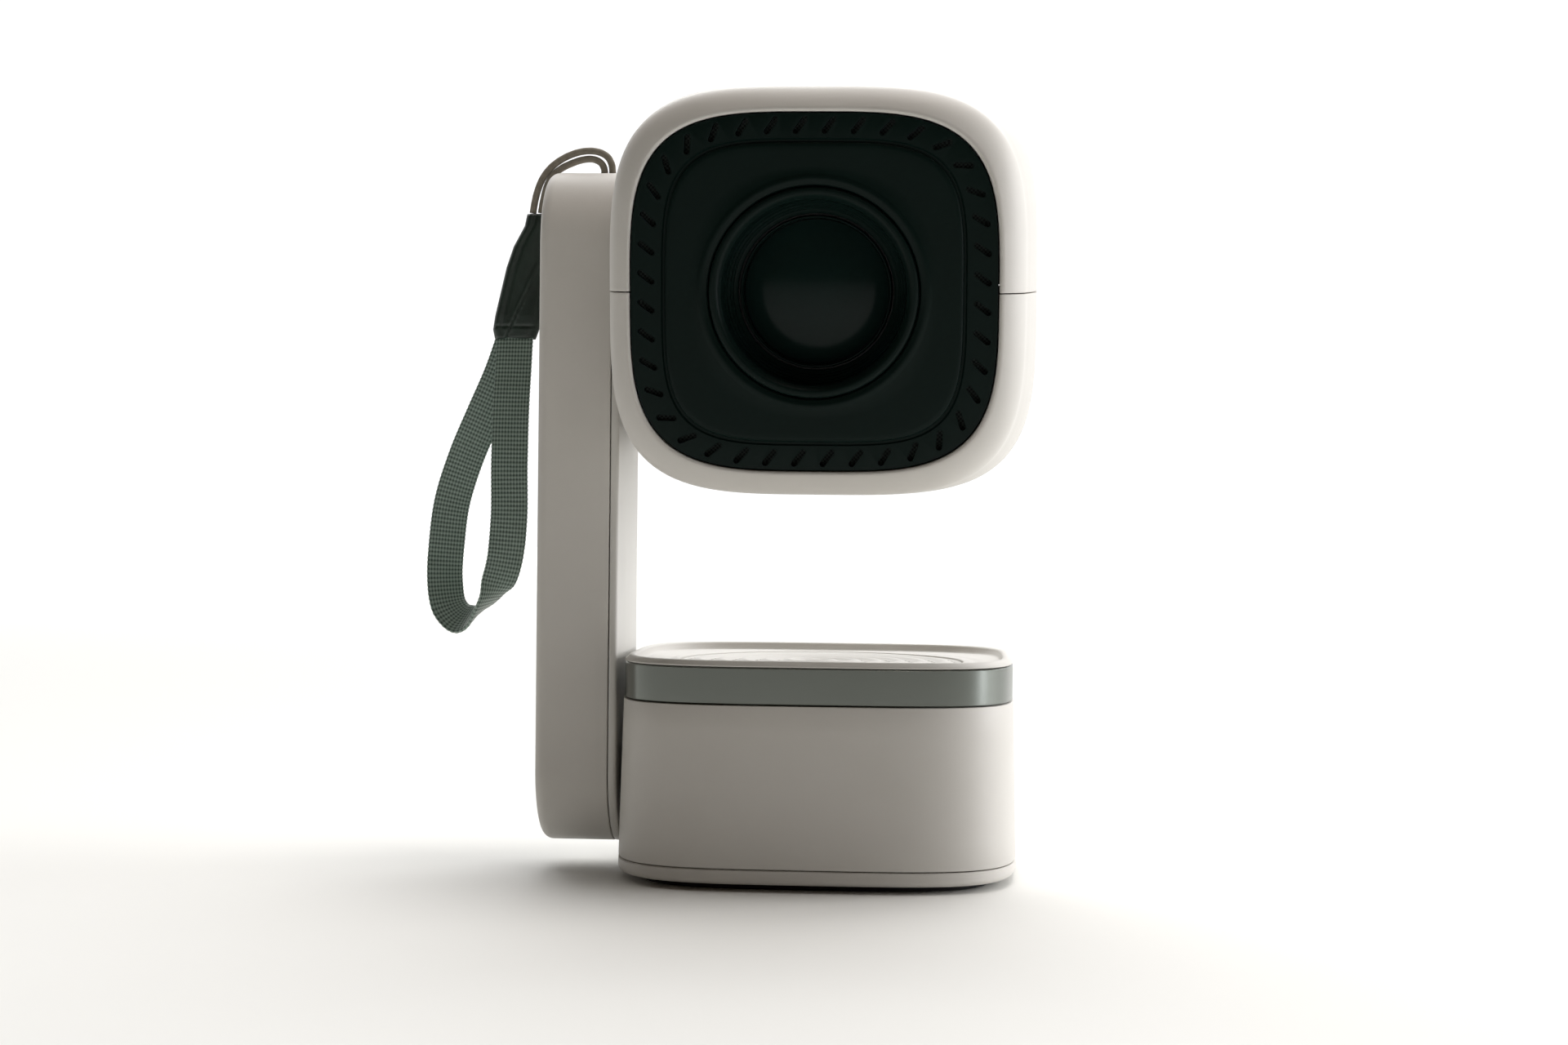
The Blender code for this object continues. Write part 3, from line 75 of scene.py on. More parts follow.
# ---------------------------------------------------------------- floor and light
# A matt pale floor, a bright window wall behind the projector and a dim warm room in front of it,
# so that the white casings stand in soft shade with bright edges on their right and on top.
def linear(code):
    """An sRGB hex colour as linear RGBA."""
    levels = [int(code[i:i + 2], 16) / 255 for i in (1, 3, 5)]
    return (*[v / 12.92 if v <= 0.04045 else ((v + 0.055) / 1.055) ** 2.4 for v in levels], 1.0)


def add_node(tree, kind, inputs=(), **settings):
    """Adds a node with its settings; an input is a value, or a socket to link from."""
    made = tree.nodes.new(kind)
    for name, value in settings.items():
        setattr(made, name, value)
    for name, value in dict(inputs).items():
        if isinstance(value, bpy.types.NodeSocket):
            tree.links.new(value, made.inputs[name])
        else:
            made.inputs[name].default_value = value
    return made


def new_finish(name, colour, roughness, metallic=0.0, **constants):
    """A Principled material; its constant values are set on the shader's own sockets."""
    finish = bpy.data.materials.new(name)
    finish.use_nodes = True
    shader = finish.node_tree.nodes["Principled BSDF"]
    shader.inputs["Base Color"].default_value = linear(colour)
    shader.inputs["Roughness"].default_value = roughness
    shader.inputs["Metallic"].default_value = metallic
    for socket, value in constants.items():
        shader.inputs[socket.replace("_", " ")].default_value = value
    return finish, finish.node_tree, shader


world = bpy.data.worlds.new("studio")
world.use_nodes = True
bpy.context.scene.world = world
bpy.context.scene.view_settings.view_transform = "Standard"
tree = world.node_tree
backdrop = tree.nodes["Background"]
toward = add_node(tree, "ShaderNodeTexCoord")
facing = add_node(tree, "ShaderNodeVectorMath", {0: toward.outputs["Generated"], 1: (0.25, 1.0, 0.3)},
                  operation="DOT_PRODUCT")
behind = add_node(tree, "ShaderNodeMapRange", {"Value": facing.outputs["Value"], "From Min": -0.05, "From Max": 0.7,
                                               "To Min": 0.0, "To Max": 1.0}, interpolation_type="SMOOTHSTEP")
shade = add_node(tree, "ShaderNodeMix", {"Factor": behind.outputs["Result"], 6: linear("#3c342a"),
                                         7: linear("#ffffff")}, data_type="RGBA")
tree.links.new(shade.outputs[2], backdrop.inputs["Color"])
backdrop.inputs["Strength"].default_value = 1.1

floor_bm = bmesh.new()
bmesh.ops.create_grid(floor_bm, x_segments=1, y_segments=1, size=5)
floor_mesh = bpy.data.meshes.new("floor")
floor_bm.to_mesh(floor_mesh)
floor_bm.free()
floor = bpy.data.objects.new("floor", floor_mesh)
bpy.context.scene.collection.objects.link(floor)
floor_finish, tree, shader = new_finish("matt_paper", "#ebebe8", 0.7)
place = add_node(tree, "ShaderNodeTexCoord")
fibre = add_node(tree, "ShaderNodeTexNoise", {"Vector": place.outputs["Object"], "Scale": 700.0, "Detail": 2.0})
relief = add_node(tree, "ShaderNodeBump", {"Height": fibre.outputs["Fac"], "Strength": 0.1, "Distance": 0.0001})
tree.links.new(relief.outputs["Normal"], shader.inputs["Normal"])
floor_mesh.materials.append(floor_finish)

for name, spot, size, watts, tint in (("window", (1.0, 0.25, 0.42), 0.7, 5.0, "#ffffff"),
                                      ("doorway", (1.2, -0.08, 0.25), 0.5, 3.0, "#f7f8ff"),
                                      ("skylight", (0.0, 5.0, 3.2), 7.0, 270.0, "#ffffff"),
                                      ("ceiling", (0.15, -0.02, 1.0), 0.4, 2.8, "#fff7f0")):
    lamp = bpy.data.lights.new(name, "AREA")
    lamp.shape = "DISK"
    lamp.size = size
    lamp.energy = watts
    lamp.color = linear(tint)[:3]
    holder = bpy.data.objects.new(name, lamp)
    bpy.context.scene.collection.objects.link(holder)
    holder.location = spot
    aim = Vector((0, 5, 0)) if name == "skylight" else Vector((0, 0, 0.12))
    holder.rotation_euler = (aim - Vector(spot)).to_track_quat("-Z", "Y").to_euler()


# ---------------------------------------------------------------- strap cord
# A 2 mm braided polyester cord: one loop whose ends are clamped in the connector, and whose middle
# passes through the slot in the arm's crown and turns round a steel bar inside.
CORD_ROUTE = ((-85.3, 187.8), (-84.9, 190.5), (-84.1, 194.0), (-82.7, 197.6), (-80.4, 200.8), (-77.2, 203.3),
              (-73.6, 205.0), (-70.0, 205.8), (-66.6, 205.6), (-63.9, 204.3), (-62.5, 202.0), (-62.1, 199.0),
              (-61.4, 195.0), (-60.8, 191.0), (-60.7, 187.5), (-61.96, 184.46), (-65.0, 183.2),
              (-68.04, 184.46), (-69.3, 187.5), (-68.8, 190.6), (-67.1, 193.8), (-65.2, 196.8),
              (-64.5, 199.6), (-65.2, 201.9), (-66.8, 203.1), (-68.9, 203.5), (-71.6, 203.1), (-74.4, 202.1),
              (-77.2, 200.7), (-79.7, 198.6), (-81.3, 195.5), (-82.3, 191.5), (-82.9, 187.8))
CORD_Y = 2.0
CORD_RADIUS = 1.0


def smooth_route(points, count):
    """Evenly placed points on a smooth curve through the given ones."""
    ends = [points[0] * 2 - points[1]] + points + [points[-1] * 2 - points[-2]]
    fine = []
    for a, b, c, d in zip(ends, ends[1:], ends[2:], ends[3:]):
        for i in range(12):
            t = i / 12
            fine.append(0.5 * (2 * b + (c - a) * t + (2 * a - 5 * b + 4 * c - d) * t ** 2
                               + (3 * b - a - 3 * c + d) * t ** 3))
    fine.append(points[-1])
    reach = [0.0]
    for first, second in zip(fine, fine[1:]):
        reach.append(reach[-1] + (second - first).length)
    even, k = [], 0
    for i in range(count):
        goal = reach[-1] * i / (count - 1)
        while k < len(reach) - 2 and reach[k + 1] < goal:
            k += 1
        even.append(fine[k].lerp(fine[k + 1], (goal - reach[k]) / (reach[k + 1] - reach[k])))
    return even, reach[-1]


def ring_wall(bm, rings, count, closed=False, caps=False):
    """Extrudes a circle of edges from ring to ring. A ring gives the place of the vertex at an angle."""
    turn = bm.verts.layers.float.get("turn") or bm.verts.layers.float.new("turn")
    start = bmesh.ops.create_circle(bm, cap_ends=False, radius=1, segments=count)["verts"]
    for vert in start:
        vert[turn] = (math.atan2(vert.co.y, vert.co.x) + math.pi / count) % (2 * math.pi)
    for vert in start:
        vert.co = rings[0](vert[turn])
    edges = list({edge for vert in start for edge in vert.link_edges})
    first = edges
    faces = []
    for ring in rings[1:]:
        grown = bmesh.ops.extrude_edge_only(bm, edges=edges)["geom"]
        edges = [part for part in grown if isinstance(part, bmesh.types.BMEdge)]
        faces += [part for part in grown if isinstance(part, bmesh.types.BMFace)]
        for vert in (part for part in grown if isinstance(part, bmesh.types.BMVert)):
            vert.co = ring(vert[turn])
    if closed:
        bmesh.ops.remove_doubles(bm, verts=bm.verts, dist=0.0005)
    if caps:
        for loop in (first, edges):
            cap = bmesh.ops.edgeloop_fill(bm, edges=loop)["faces"]
            bmesh.ops.inset_region(bm, faces=cap, thickness=0.25, use_even_offset=True)
    return faces


def settle(name, bm, finish, body, stands_for=(), turn=None, smooth=32):
    """Makes a piece from a bmesh in millimetres, with its place in its mesh, and lets it ride on a body."""
    if turn is not None:
        bmesh.ops.transform(bm, matrix=turn, verts=bm.verts)
    bmesh.ops.scale(bm, vec=(MM, MM, MM), verts=bm.verts)
    bmesh.ops.remove_doubles(bm, verts=bm.verts, dist=1e-7)
    bmesh.ops.recalc_face_normals(bm, faces=bm.faces)
    mesh = bpy.data.meshes.new(name)
    bm.to_mesh(mesh)
    bm.free()
    mesh.shade_smooth()
    mesh.set_sharp_from_angle(angle=math.radians(smooth))
    mesh.materials.append(finish)
    piece = bpy.data.objects.new(name, mesh)
    bpy.context.scene.collection.objects.link(piece)
    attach(piece, body)
    if stands_for:
        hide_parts(*stands_for)
    return piece


def along_frames(route, side):
    """At each point of a route, the direction across it nearest to the given one, and the normal."""
    frames = []
    for i, point in enumerate(route):
        ahead = (route[min(i + 1, len(route) - 1)] - route[max(i - 1, 0)]).normalized()
        want = side[i] if isinstance(side, list) else side
        across = (want - ahead * want.dot(ahead)).normalized()
        frames.append((point, across, across.cross(ahead)))
    return frames


cord_line, cord_reach = smooth_route([Vector((x, CORD_Y, z)) for x, z in CORD_ROUTE], 460)
cord_bm = bmesh.new()
strand = cord_bm.verts.layers.float.new("strand")
PLAITS = 8               # strands each way round the cord
PLAIT_RISE = 3.4         # one strand's rise in a full turn, in millimetres


def braid_height(angle, along):
    """The braid's relief: two crossing sets of strands that pass over and under each other."""
    phase = 2 * math.pi * along / PLAIT_RISE
    right = math.cos(PLAITS / 2 * (angle + phase))
    left = math.cos(PLAITS / 2 * (angle - phase))
    return max(abs(right), abs(left)) * 0.6 + 0.4 * abs(right * left)


step = cord_reach / (len(cord_line) - 1)
rings = []
for number, (centre, across, normal) in enumerate(along_frames(cord_line, Vector((0, 1, 0)))):
    def ring(angle, centre=centre, across=across, normal=normal, number=number):
        radius = CORD_RADIUS * (0.84 + 0.2 * braid_height(angle, number * step))
        return centre + (across * math.cos(angle) + normal * math.sin(angle)) * radius
    rings.append(ring)
ring_wall(cord_bm, rings, 32, caps=True)
# The strand value is 0 in the gaps between the strands and 1 on their tops; the finish below paints shade from it.
for number, vert in enumerate(cord_bm.verts):
    centre = cord_line[min(number // 32, len(cord_line) - 1)]
    vert[strand] = min(max(((vert.co - centre).length / CORD_RADIUS - 0.86) / 0.17, 0.0), 1.0)

# Braided polyester with a fine random fleck. Its colour carries painted shade from the strand value: dark grey in the
# gaps between the strands, light where a strand is on top.
braid, tree, shader = new_finish("braided_polyester", "#8d8779", 0.75, Sheen_Weight=0.3, Sheen_Roughness=0.4)
lift = add_node(tree, "ShaderNodeAttribute", attribute_name="strand")
place = add_node(tree, "ShaderNodeTexCoord")
fleck = add_node(tree, "ShaderNodeTexNoise", {"Vector": place.outputs["Object"], "Scale": 900.0, "Detail": 3.0})
tone = add_node(tree, "ShaderNodeValToRGB", {"Fac": lift.outputs["Fac"]})
tone.color_ramp.elements[0].color = linear("#3b3a35")
tone.color_ramp.elements[1].color = linear("#b3ab9c")
mixed = add_node(tree, "ShaderNodeMix", {"Factor": fleck.outputs["Fac"], 6: tone.outputs["Color"],
                                         7: linear("#8a8478")}, data_type="RGBA")
tree.links.new(mixed.outputs[2], shader.inputs["Base Color"])
strap_cord = settle("braided_cord", cord_bm, braid, "arm", ("strap_cord",), smooth=180)


# ---------------------------------------------------------------- strap connector
# A folded sleeve of smooth synthetic leather that clamps the cord's ends above and the webbing's
# ends below. Its left edge is rolled, and a flap is folded across its lower right.
CONNECTOR = ((187.5, -86.9, -81.3, 3.6), (184.0, -87.6, -81.6, 4.2), (178.0, -90.8, -82.0, 4.8),
             (172.0, -92.8, -82.2, 5.0), (158.0, -96.0, -82.6, 5.4), (154.0, -96.6, -83.2, 5.0),
             (151.2, -96.0, -84.2, 4.4))
FLAP_TOP = Vector((-82.6, 173.2))
FLAP_FOOT = Vector((-91.4, 154.2))


def rounded(angle, half_u, half_v, power, shift=0.0):
    """A point on a rounded square, at an angle seen from its middle."""
    c, s = math.cos(angle), math.sin(angle)
    reach = (abs(c) ** power + abs(s) ** power) ** (-1 / power)
    return c * reach * half_u + shift, s * reach * half_v


def soft_step(value, low, high):
    share = min(max((value - low) / (high - low), 0.0), 1.0)
    return share * share * (3 - 2 * share)


def between(table, height):
    """The row of a table of falling heights, blended at the given height."""
    for upper, lower in zip(table, table[1:]):
        if height >= lower[0]:
            share = (height - lower[0]) / (upper[0] - lower[0])
            return [lower[i] + (upper[i] - lower[i]) * share for i in range(1, len(lower))]
    return list(table[-1][1:])


levels = [CONNECTOR[0][0] - (CONNECTOR[0][0] - CONNECTOR[-1][0]) * i / 110 for i in range(111)]
rings = []
for height in levels:
    left, right, thick = between(CONNECTOR, height)
    end = min(CONNECTOR[0][0] - height, height - CONNECTOR[-1][0])
    ends_in = 1 - 0.35 * (1 - min(end / 0.8, 1.0)) ** 2

    def ring(angle, height=height, left=left, right=right, thick=thick, ends_in=ends_in):
        x, y = rounded(angle, (right - left) / 2, thick / 2 * ends_in, 3.0, (left + right) / 2)
        side = -1 if y < 0 else 1
        rolled = math.exp(-((x - left - 1.3) / 0.9) ** 2) * 0.45 - math.exp(-((x - left - 2.9) / 0.5) ** 2) * 0.35
        crown = 0.35 * math.cos((x - (left + right) / 2) / (right - left) * math.pi) ** 2
        across = (Vector((x, height)) - FLAP_FOOT).cross((FLAP_TOP - FLAP_FOOT).normalized())
        flap = 0.0
        if y < 0 and height < FLAP_TOP.y + 1:
            flap = -0.75 * soft_step(across, -0.1, 0.35) * soft_step(-across, -6.5, -0.4)
            flap += 0.3 * math.exp(-((across + 0.5) / 0.5) ** 2)
        hem = -0.25 * math.exp(-((height - 154.9) / 0.35) ** 2)
        lift = (rolled + crown + flap + hem) * min(abs(y) / (thick * 0.3), 1.0)
        return Vector((x, y + side * lift + CORD_Y, height))
    rings.append(ring)
leather_bm = bmesh.new()
ring_wall(leather_bm, rings, 96, caps=True)

# Smooth synthetic leather: dark green-grey, satin, with a fine pebble and paler, rougher worn patches at random.
leather, tree, shader = new_finish("smooth_leather", "#1e2e28", 0.36, Specular_IOR_Level=0.6)
place = add_node(tree, "ShaderNodeTexCoord")
pebble = add_node(tree, "ShaderNodeTexVoronoi", {"Vector": place.outputs["Object"], "Scale": 1700.0})
cloud = add_node(tree, "ShaderNodeTexNoise", {"Vector": place.outputs["Object"], "Scale": 160.0, "Detail": 3.0})
tone = add_node(tree, "ShaderNodeValToRGB", {"Fac": cloud.outputs["Fac"]})
tone.color_ramp.elements[0].position, tone.color_ramp.elements[0].color = 0.3, linear("#15241e")
tone.color_ramp.elements[1].position, tone.color_ramp.elements[1].color = 0.75, linear("#21332b")
tree.links.new(tone.outputs["Color"], shader.inputs["Base Color"])
relief = add_node(tree, "ShaderNodeBump", {"Height": pebble.outputs["Distance"], "Strength": 0.25, "Distance": 0.0001})
tree.links.new(relief.outputs["Normal"], shader.inputs["Normal"])
wear = add_node(tree, "ShaderNodeMapRange", {"Value": cloud.outputs["Fac"], "To Min": 0.36, "To Max": 0.52})
tree.links.new(wear.outputs["Result"], shader.inputs["Roughness"])
connector = settle("leather_sleeve", leather_bm, leather, "arm", ("strap_connector",), smooth=50)


# ---------------------------------------------------------------- strap webbing
# A loop of 10 mm woven nylon webbing, its two ends sewn into the leather sleeve. It hangs down in
# front of the sleeve, turns over at the bottom and comes up behind, with its inner face showing.
WEBBING_ROUTE = ((-90.0, 1.0, 151.6), (-90.0, -1.5, 142.0), (-90.1, -4.0, 131.0), (-90.1, -6.0, 115.0),
                 (-90.0, -6.5, 99.0), (-91.8, -5.5, 85.0), (-97.0, -2.0, 74.8), (-104.0, 2.8, 69.8),
                 (-109.6, 7.0, 73.0), (-111.6, 9.5, 81.0), (-111.4, 10.3, 91.0), (-109.8, 10.3, 104.0),
                 (-105.6, 9.1, 117.0), (-100.2, 7.1, 129.0), (-94.6, 5.0, 141.0), (-90.6, 3.4, 151.6))
WEBBING_WIDTH = ((1, 0, 0), (1, 0, 0), (1, 0, 0), (1, 0.1, 0), (1, 0.2, 0.05), (0.9, 0.3, 0.3),
                 (0.7, 0.4, 0.6), (0.5, 0.5, 0.75), (0.7, 0.5, 0.55), (0.9, 0.35, 0.25), (1, 0.2, 0.1),
                 (1, 0.1, 0.1), (1, 0, 0.15), (1, 0, 0.15), (1, 0, 0.1), (1, 0, 0))
STRAP_WIDTH = 10.6
STRAP_THICKNESS = 1.2
WEFT_PITCH = 1.25        # one rib across the webbing
WARP_PITCH = 0.88        # one cord along it
webbing_points = [Vector(point) for point in WEBBING_ROUTE]
web_line, web_reach = smooth_route(webbing_points, 900)
sides = []
for place in web_line:
    shares = [1 / ((place - point).length + 0.5) ** 3 for point in webbing_points]
    blended = sum((Vector(way) * share for way, share in zip(WEBBING_WIDTH, shares)), Vector())
    sides.append(blended.normalized())
web_bm = bmesh.new()
rings = []
step = web_reach / (len(web_line) - 1)
for number, (centre, across, normal) in enumerate(along_frames(web_line, sides)):
    def ring(angle, centre=centre, across=across, normal=normal, number=number):
        along = number * step
        rib = 0.5 + 0.5 * math.cos(2 * math.pi * along / WEFT_PITCH)
        u, v = rounded(angle, STRAP_WIDTH / 2 - 0.14 * (1 - rib), STRAP_THICKNESS / 2, 5.0)
        face = min(abs(v) / (STRAP_THICKNESS * 0.45), 1.0)
        warp = 0.5 + 0.5 * math.cos(2 * math.pi * u / WARP_PITCH + math.pi * round(along / WEFT_PITCH))
        flat = 0.86 + face * (0.12 * rib + 0.04 * warp)
        return centre + across * u + normal * v * flat
    rings.append(ring)
ring_wall(web_bm, rings, 60, caps=True)
cross = web_bm.verts.layers.float.new("across")
down = web_bm.verts.layers.float.new("along")
web_bm.verts.ensure_lookup_table()
web_frames = along_frames(web_line, sides)
for number, vert in enumerate(web_bm.verts):
    row = min(number // 60, len(web_line) - 1)
    centre, across, normal = web_frames[row]
    vert[cross] = (vert.co - centre).dot(across)
    vert[down] = row * step

# Woven nylon: grey-green yarns with a silky sheen. The weave pattern's colour is painted shade, dark in the gaps
# between ribs and cords and light on their tops.
nylon, tree, shader = new_finish("woven_nylon", "#66736a", 0.5, Sheen_Weight=0.7, Sheen_Roughness=0.3)
wide = add_node(tree, "ShaderNodeAttribute", attribute_name="across")
long = add_node(tree, "ShaderNodeAttribute", attribute_name="along")
rows = add_node(tree, "ShaderNodeMath", {0: long.outputs["Fac"], 1: 2 * math.pi / WEFT_PITCH}, operation="MULTIPLY")
columns = add_node(tree, "ShaderNodeMath", {0: wide.outputs["Fac"], 1: 2 * math.pi / WARP_PITCH}, operation="MULTIPLY")
row_wave = add_node(tree, "ShaderNodeMath", {0: rows.outputs[0]}, operation="COSINE")
column_wave = add_node(tree, "ShaderNodeMath", {0: columns.outputs[0]}, operation="COSINE")
both = add_node(tree, "ShaderNodeMath", {0: row_wave.outputs[0], 1: column_wave.outputs[0]}, operation="ADD")
yarn_relief_and_shade = add_node(tree, "ShaderNodeMapRange", {"Value": both.outputs[0], "From Min": -2.0, "From Max": 2.0})
# This ramp paints shade into the weave's gaps; the same value also drives the bump.
tone = add_node(tree, "ShaderNodeValToRGB", {"Fac": yarn_relief_and_shade.outputs["Result"]})
tone.color_ramp.elements[0].position, tone.color_ramp.elements[0].color = 0.1, linear("#3c4d46")
tone.color_ramp.elements[1].position, tone.color_ramp.elements[1].color = 0.85, linear("#94a69c")
tree.links.new(tone.outputs["Color"], shader.inputs["Base Color"])
relief = add_node(tree, "ShaderNodeBump", {"Height": yarn_relief_and_shade.outputs["Result"], "Strength": 0.6, "Distance": 0.00012})
tree.links.new(relief.outputs["Normal"], shader.inputs["Normal"])
webbing = settle("woven_strap", web_bm, nylon, "arm", ("strap_webbing",), smooth=70)


# ---------------------------------------------------------------- foot
# A soft black rubber pad under the base, pressed onto the plate, with a rounded tread edge.
def node_box(name):
    """A CAD node's lowest and highest corner, in millimetres."""
    low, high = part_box(name)
    return low / MM, high / MM


def flat_ring(half_x, half_y, z, power=3.9):
    """A rounded-square ring lying at a height."""
    def ring(angle):
        x, y = rounded(angle, half_x, half_y, power)
        return Vector((x, y, z))
    return ring


pad_low, pad_high = node_box("foot_pad")
foot_bm = bmesh.new()
ring_wall(foot_bm, [flat_ring(pad_high.x - inset, pad_high.y - inset, z) for inset, z in
                    ((1.0, 0.0), (0.45, 0.08), (0.12, 0.3), (0.0, 0.6), (0.0, pad_high.z))], 120, caps=True)
rubber, tree, shader = new_finish("moulded_rubber", "#191a1a", 0.85)
place = add_node(tree, "ShaderNodeTexCoord")
dust = add_node(tree, "ShaderNodeTexNoise", {"Vector": place.outputs["Object"], "Scale": 1300.0, "Detail": 3.0})
tone = add_node(tree, "ShaderNodeValToRGB", {"Fac": dust.outputs["Fac"]})
tone.color_ramp.elements[0].color = linear("#121313")
tone.color_ramp.elements[1].color = linear("#2a2a29")
tree.links.new(tone.outputs["Color"], shader.inputs["Base Color"])
relief = add_node(tree, "ShaderNodeBump", {"Height": dust.outputs["Fac"], "Strength": 0.3, "Distance": 0.0001})
tree.links.new(relief.outputs["Normal"], shader.inputs["Normal"])
settle("rubber_foot", foot_bm, rubber, "base", ("foot_pad",))


# ---------------------------------------------------------------- base plate and shell
# The lower housing is moulded in white ABS with a fine spark-eroded grain. The plate closes it from
# below with four screws, and leaves a thin parting line round the base.
BASE_POWER = 3.9
DRAFT = 1.2
WALL = 2.2
GAP = 0.3
plate_low, plate_high = node_box("base_plate")
shell_low, shell_high = node_box("base_shell")
band_low, band_high = node_box("trim_band")
cover_low, cover_high = node_box("top_cover")


def base_half(z, inset=0.0):
    """The base's half width and depth at a height: each side leans in a little towards the band."""
    rise = min(max((z - plate_low.z) / (band_low.z - plate_low.z), 0.0), 1.0)
    draw = DRAFT * rise + inset
    return plate_high.x - draw, plate_high.y - draw


def base_ring(z, inset=0.0):
    return flat_ring(*base_half(z, inset), z, BASE_POWER)


# Spark-eroded ABS: warm white, satin, with a grain of about half a millimetre, and a faint mottle of
# handling that changes the gloss more than the colour.
casing, tree, shader = new_finish("moulded_white_abs", "#d3d0ca", 0.5, Specular_IOR_Level=0.45)
place = add_node(tree, "ShaderNodeTexCoord")
grain = add_node(tree, "ShaderNodeTexNoise", {"Vector": place.outputs["Object"], "Scale": 2400.0, "Detail": 2.0})
cloud = add_node(tree, "ShaderNodeTexNoise", {"Vector": place.outputs["Object"], "Scale": 45.0, "Detail": 4.0})
tone = add_node(tree, "ShaderNodeMix", {"Factor": cloud.outputs["Fac"], 6: linear("#cfccc6"),
                                        7: linear("#d7d4cf")}, data_type="RGBA")
tree.links.new(tone.outputs[2], shader.inputs["Base Color"])
gloss = add_node(tree, "ShaderNodeMapRange", {"Value": cloud.outputs["Fac"], "To Min": 0.44, "To Max": 0.56})
tree.links.new(gloss.outputs["Result"], shader.inputs["Roughness"])
relief = add_node(tree, "ShaderNodeBump", {"Height": grain.outputs["Fac"], "Strength": 0.22, "Distance": 0.00006})
tree.links.new(relief.outputs["Normal"], shader.inputs["Normal"])

plate_bm = bmesh.new()
ring_wall(plate_bm, [base_ring(plate_low.z, 1.9), base_ring(plate_low.z + 0.25, 1.1),
                     base_ring(plate_low.z + 0.8, 0.35), base_ring(plate_low.z + 1.4, 0.05),
                     base_ring(plate_low.z + 1.8), base_ring(plate_high.z - 0.3),
                     base_ring(plate_high.z, 0.25)], 160, caps=True)


def carved(bm, tools):
    """The shape with each tool's solid taken away from it."""
    held = []
    for part in [bm, *tools]:
        bmesh.ops.recalc_face_normals(part, faces=part.faces)
        mesh = bpy.data.meshes.new("carving")
        part.to_mesh(mesh)
        part.free()
        held.append(bpy.data.objects.new("carving", mesh))
        bpy.context.scene.collection.objects.link(held[-1])
    for tool in held[1:]:
        boolean = held[0].modifiers.new("cut", "BOOLEAN")
        boolean.solver = "EXACT"
        boolean.object = tool
    bpy.context.view_layer.update()
    left = bmesh.new()
    left.from_object(held[0], bpy.context.evaluated_depsgraph_get())
    for part in held:
        mesh = part.data
        bpy.data.objects.remove(part)
        bpy.data.meshes.remove(mesh)
    return left


def drill(places, radius, low, high, sides=32):
    """Upright round holes of one radius, as one cutting tool."""
    bm = bmesh.new()
    for x, y in places:
        verts = bmesh.ops.create_cone(bm, cap_ends=True, segments=sides, radius1=radius, radius2=radius,
                                      depth=high - low)["verts"]
        bmesh.ops.translate(bm, vec=(x, y, (low + high) / 2), verts=verts)
    return bm


screw_places = []
for number in range(1, 5):
    low, high = node_box(f"base_screw_{number}")
    screw_places.append(((low.x + high.x) / 2, (low.y + high.y) / 2))
plate_bm = carved(plate_bm, [drill(screw_places, 3.5, plate_low.z - 4, plate_low.z + 1.8),
                             drill(screw_places, 1.8, plate_low.z - 4, plate_high.z + 4)])
settle("bottom_plate", plate_bm, casing, "base", ("base_plate",))

shell_bm = bmesh.new()
outside = [base_ring(shell_low.z, 0.3), base_ring(shell_low.z + 0.1, 0.1), base_ring(shell_low.z + 0.3)]
outside += [base_ring(shell_low.z + 0.3 + (shell_high.z - shell_low.z - 0.6) * i / 6) for i in range(1, 7)]
outside += [base_ring(shell_high.z - 0.1, 0.1), base_ring(shell_high.z, 0.3)]
inside = [base_ring(shell_high.z, WALL), base_ring(shell_low.z, WALL)]
ring_wall(shell_bm, outside + inside + outside[:1], 160, closed=True)
hinge_low, hinge_high = node_box("hinge_bush")
hinge_hole = bmesh.new()
bmesh.ops.create_cone(hinge_hole, cap_ends=True, segments=48, radius1=8.3, radius2=8.3, depth=16)
bmesh.ops.transform(hinge_hole, verts=hinge_hole.verts, matrix=(
    Matrix.Translation((plate_low.x, 0, (hinge_low.z + hinge_high.z) / 2)) @ Matrix.Rotation(math.pi / 2, 4, "Y")))
inlet_low, inlet_high = node_box("dc_socket")
inlet_hole = bmesh.new()
bmesh.ops.create_cube(inlet_hole, size=1)
bmesh.ops.scale(inlet_hole, vec=(inlet_high.x - inlet_low.x + 0.6, 14, inlet_high.z - inlet_low.z + 0.6),
                verts=inlet_hole.verts)
bmesh.ops.translate(inlet_hole, vec=(0, plate_high.y, (inlet_low.z + inlet_high.z) / 2), verts=inlet_hole.verts)
upright_edges = [edge for edge in inlet_hole.edges
                 if abs((edge.verts[0].co - edge.verts[1].co).normalized().y) > 0.9]
bmesh.ops.bevel(inlet_hole, geom=upright_edges, offset=1.2, segments=4, profile=0.5, affect="EDGES", material=-1)
shell_bm = carved(shell_bm, [hinge_hole, inlet_hole])
settle("base_housing", shell_bm, casing, "base", ("base_shell",))


# ---------------------------------------------------------------- trim band
# An extruded aluminium ring, bead-blasted and anodised in silver, with bright turned chamfers. It
# is held between the lower housing and the top cover.
def band_ring(z, inset=0.0):
    half_x, half_y = base_half(band_low.z, 0.25 + inset)
    return flat_ring(half_x, half_y, z, BASE_POWER)


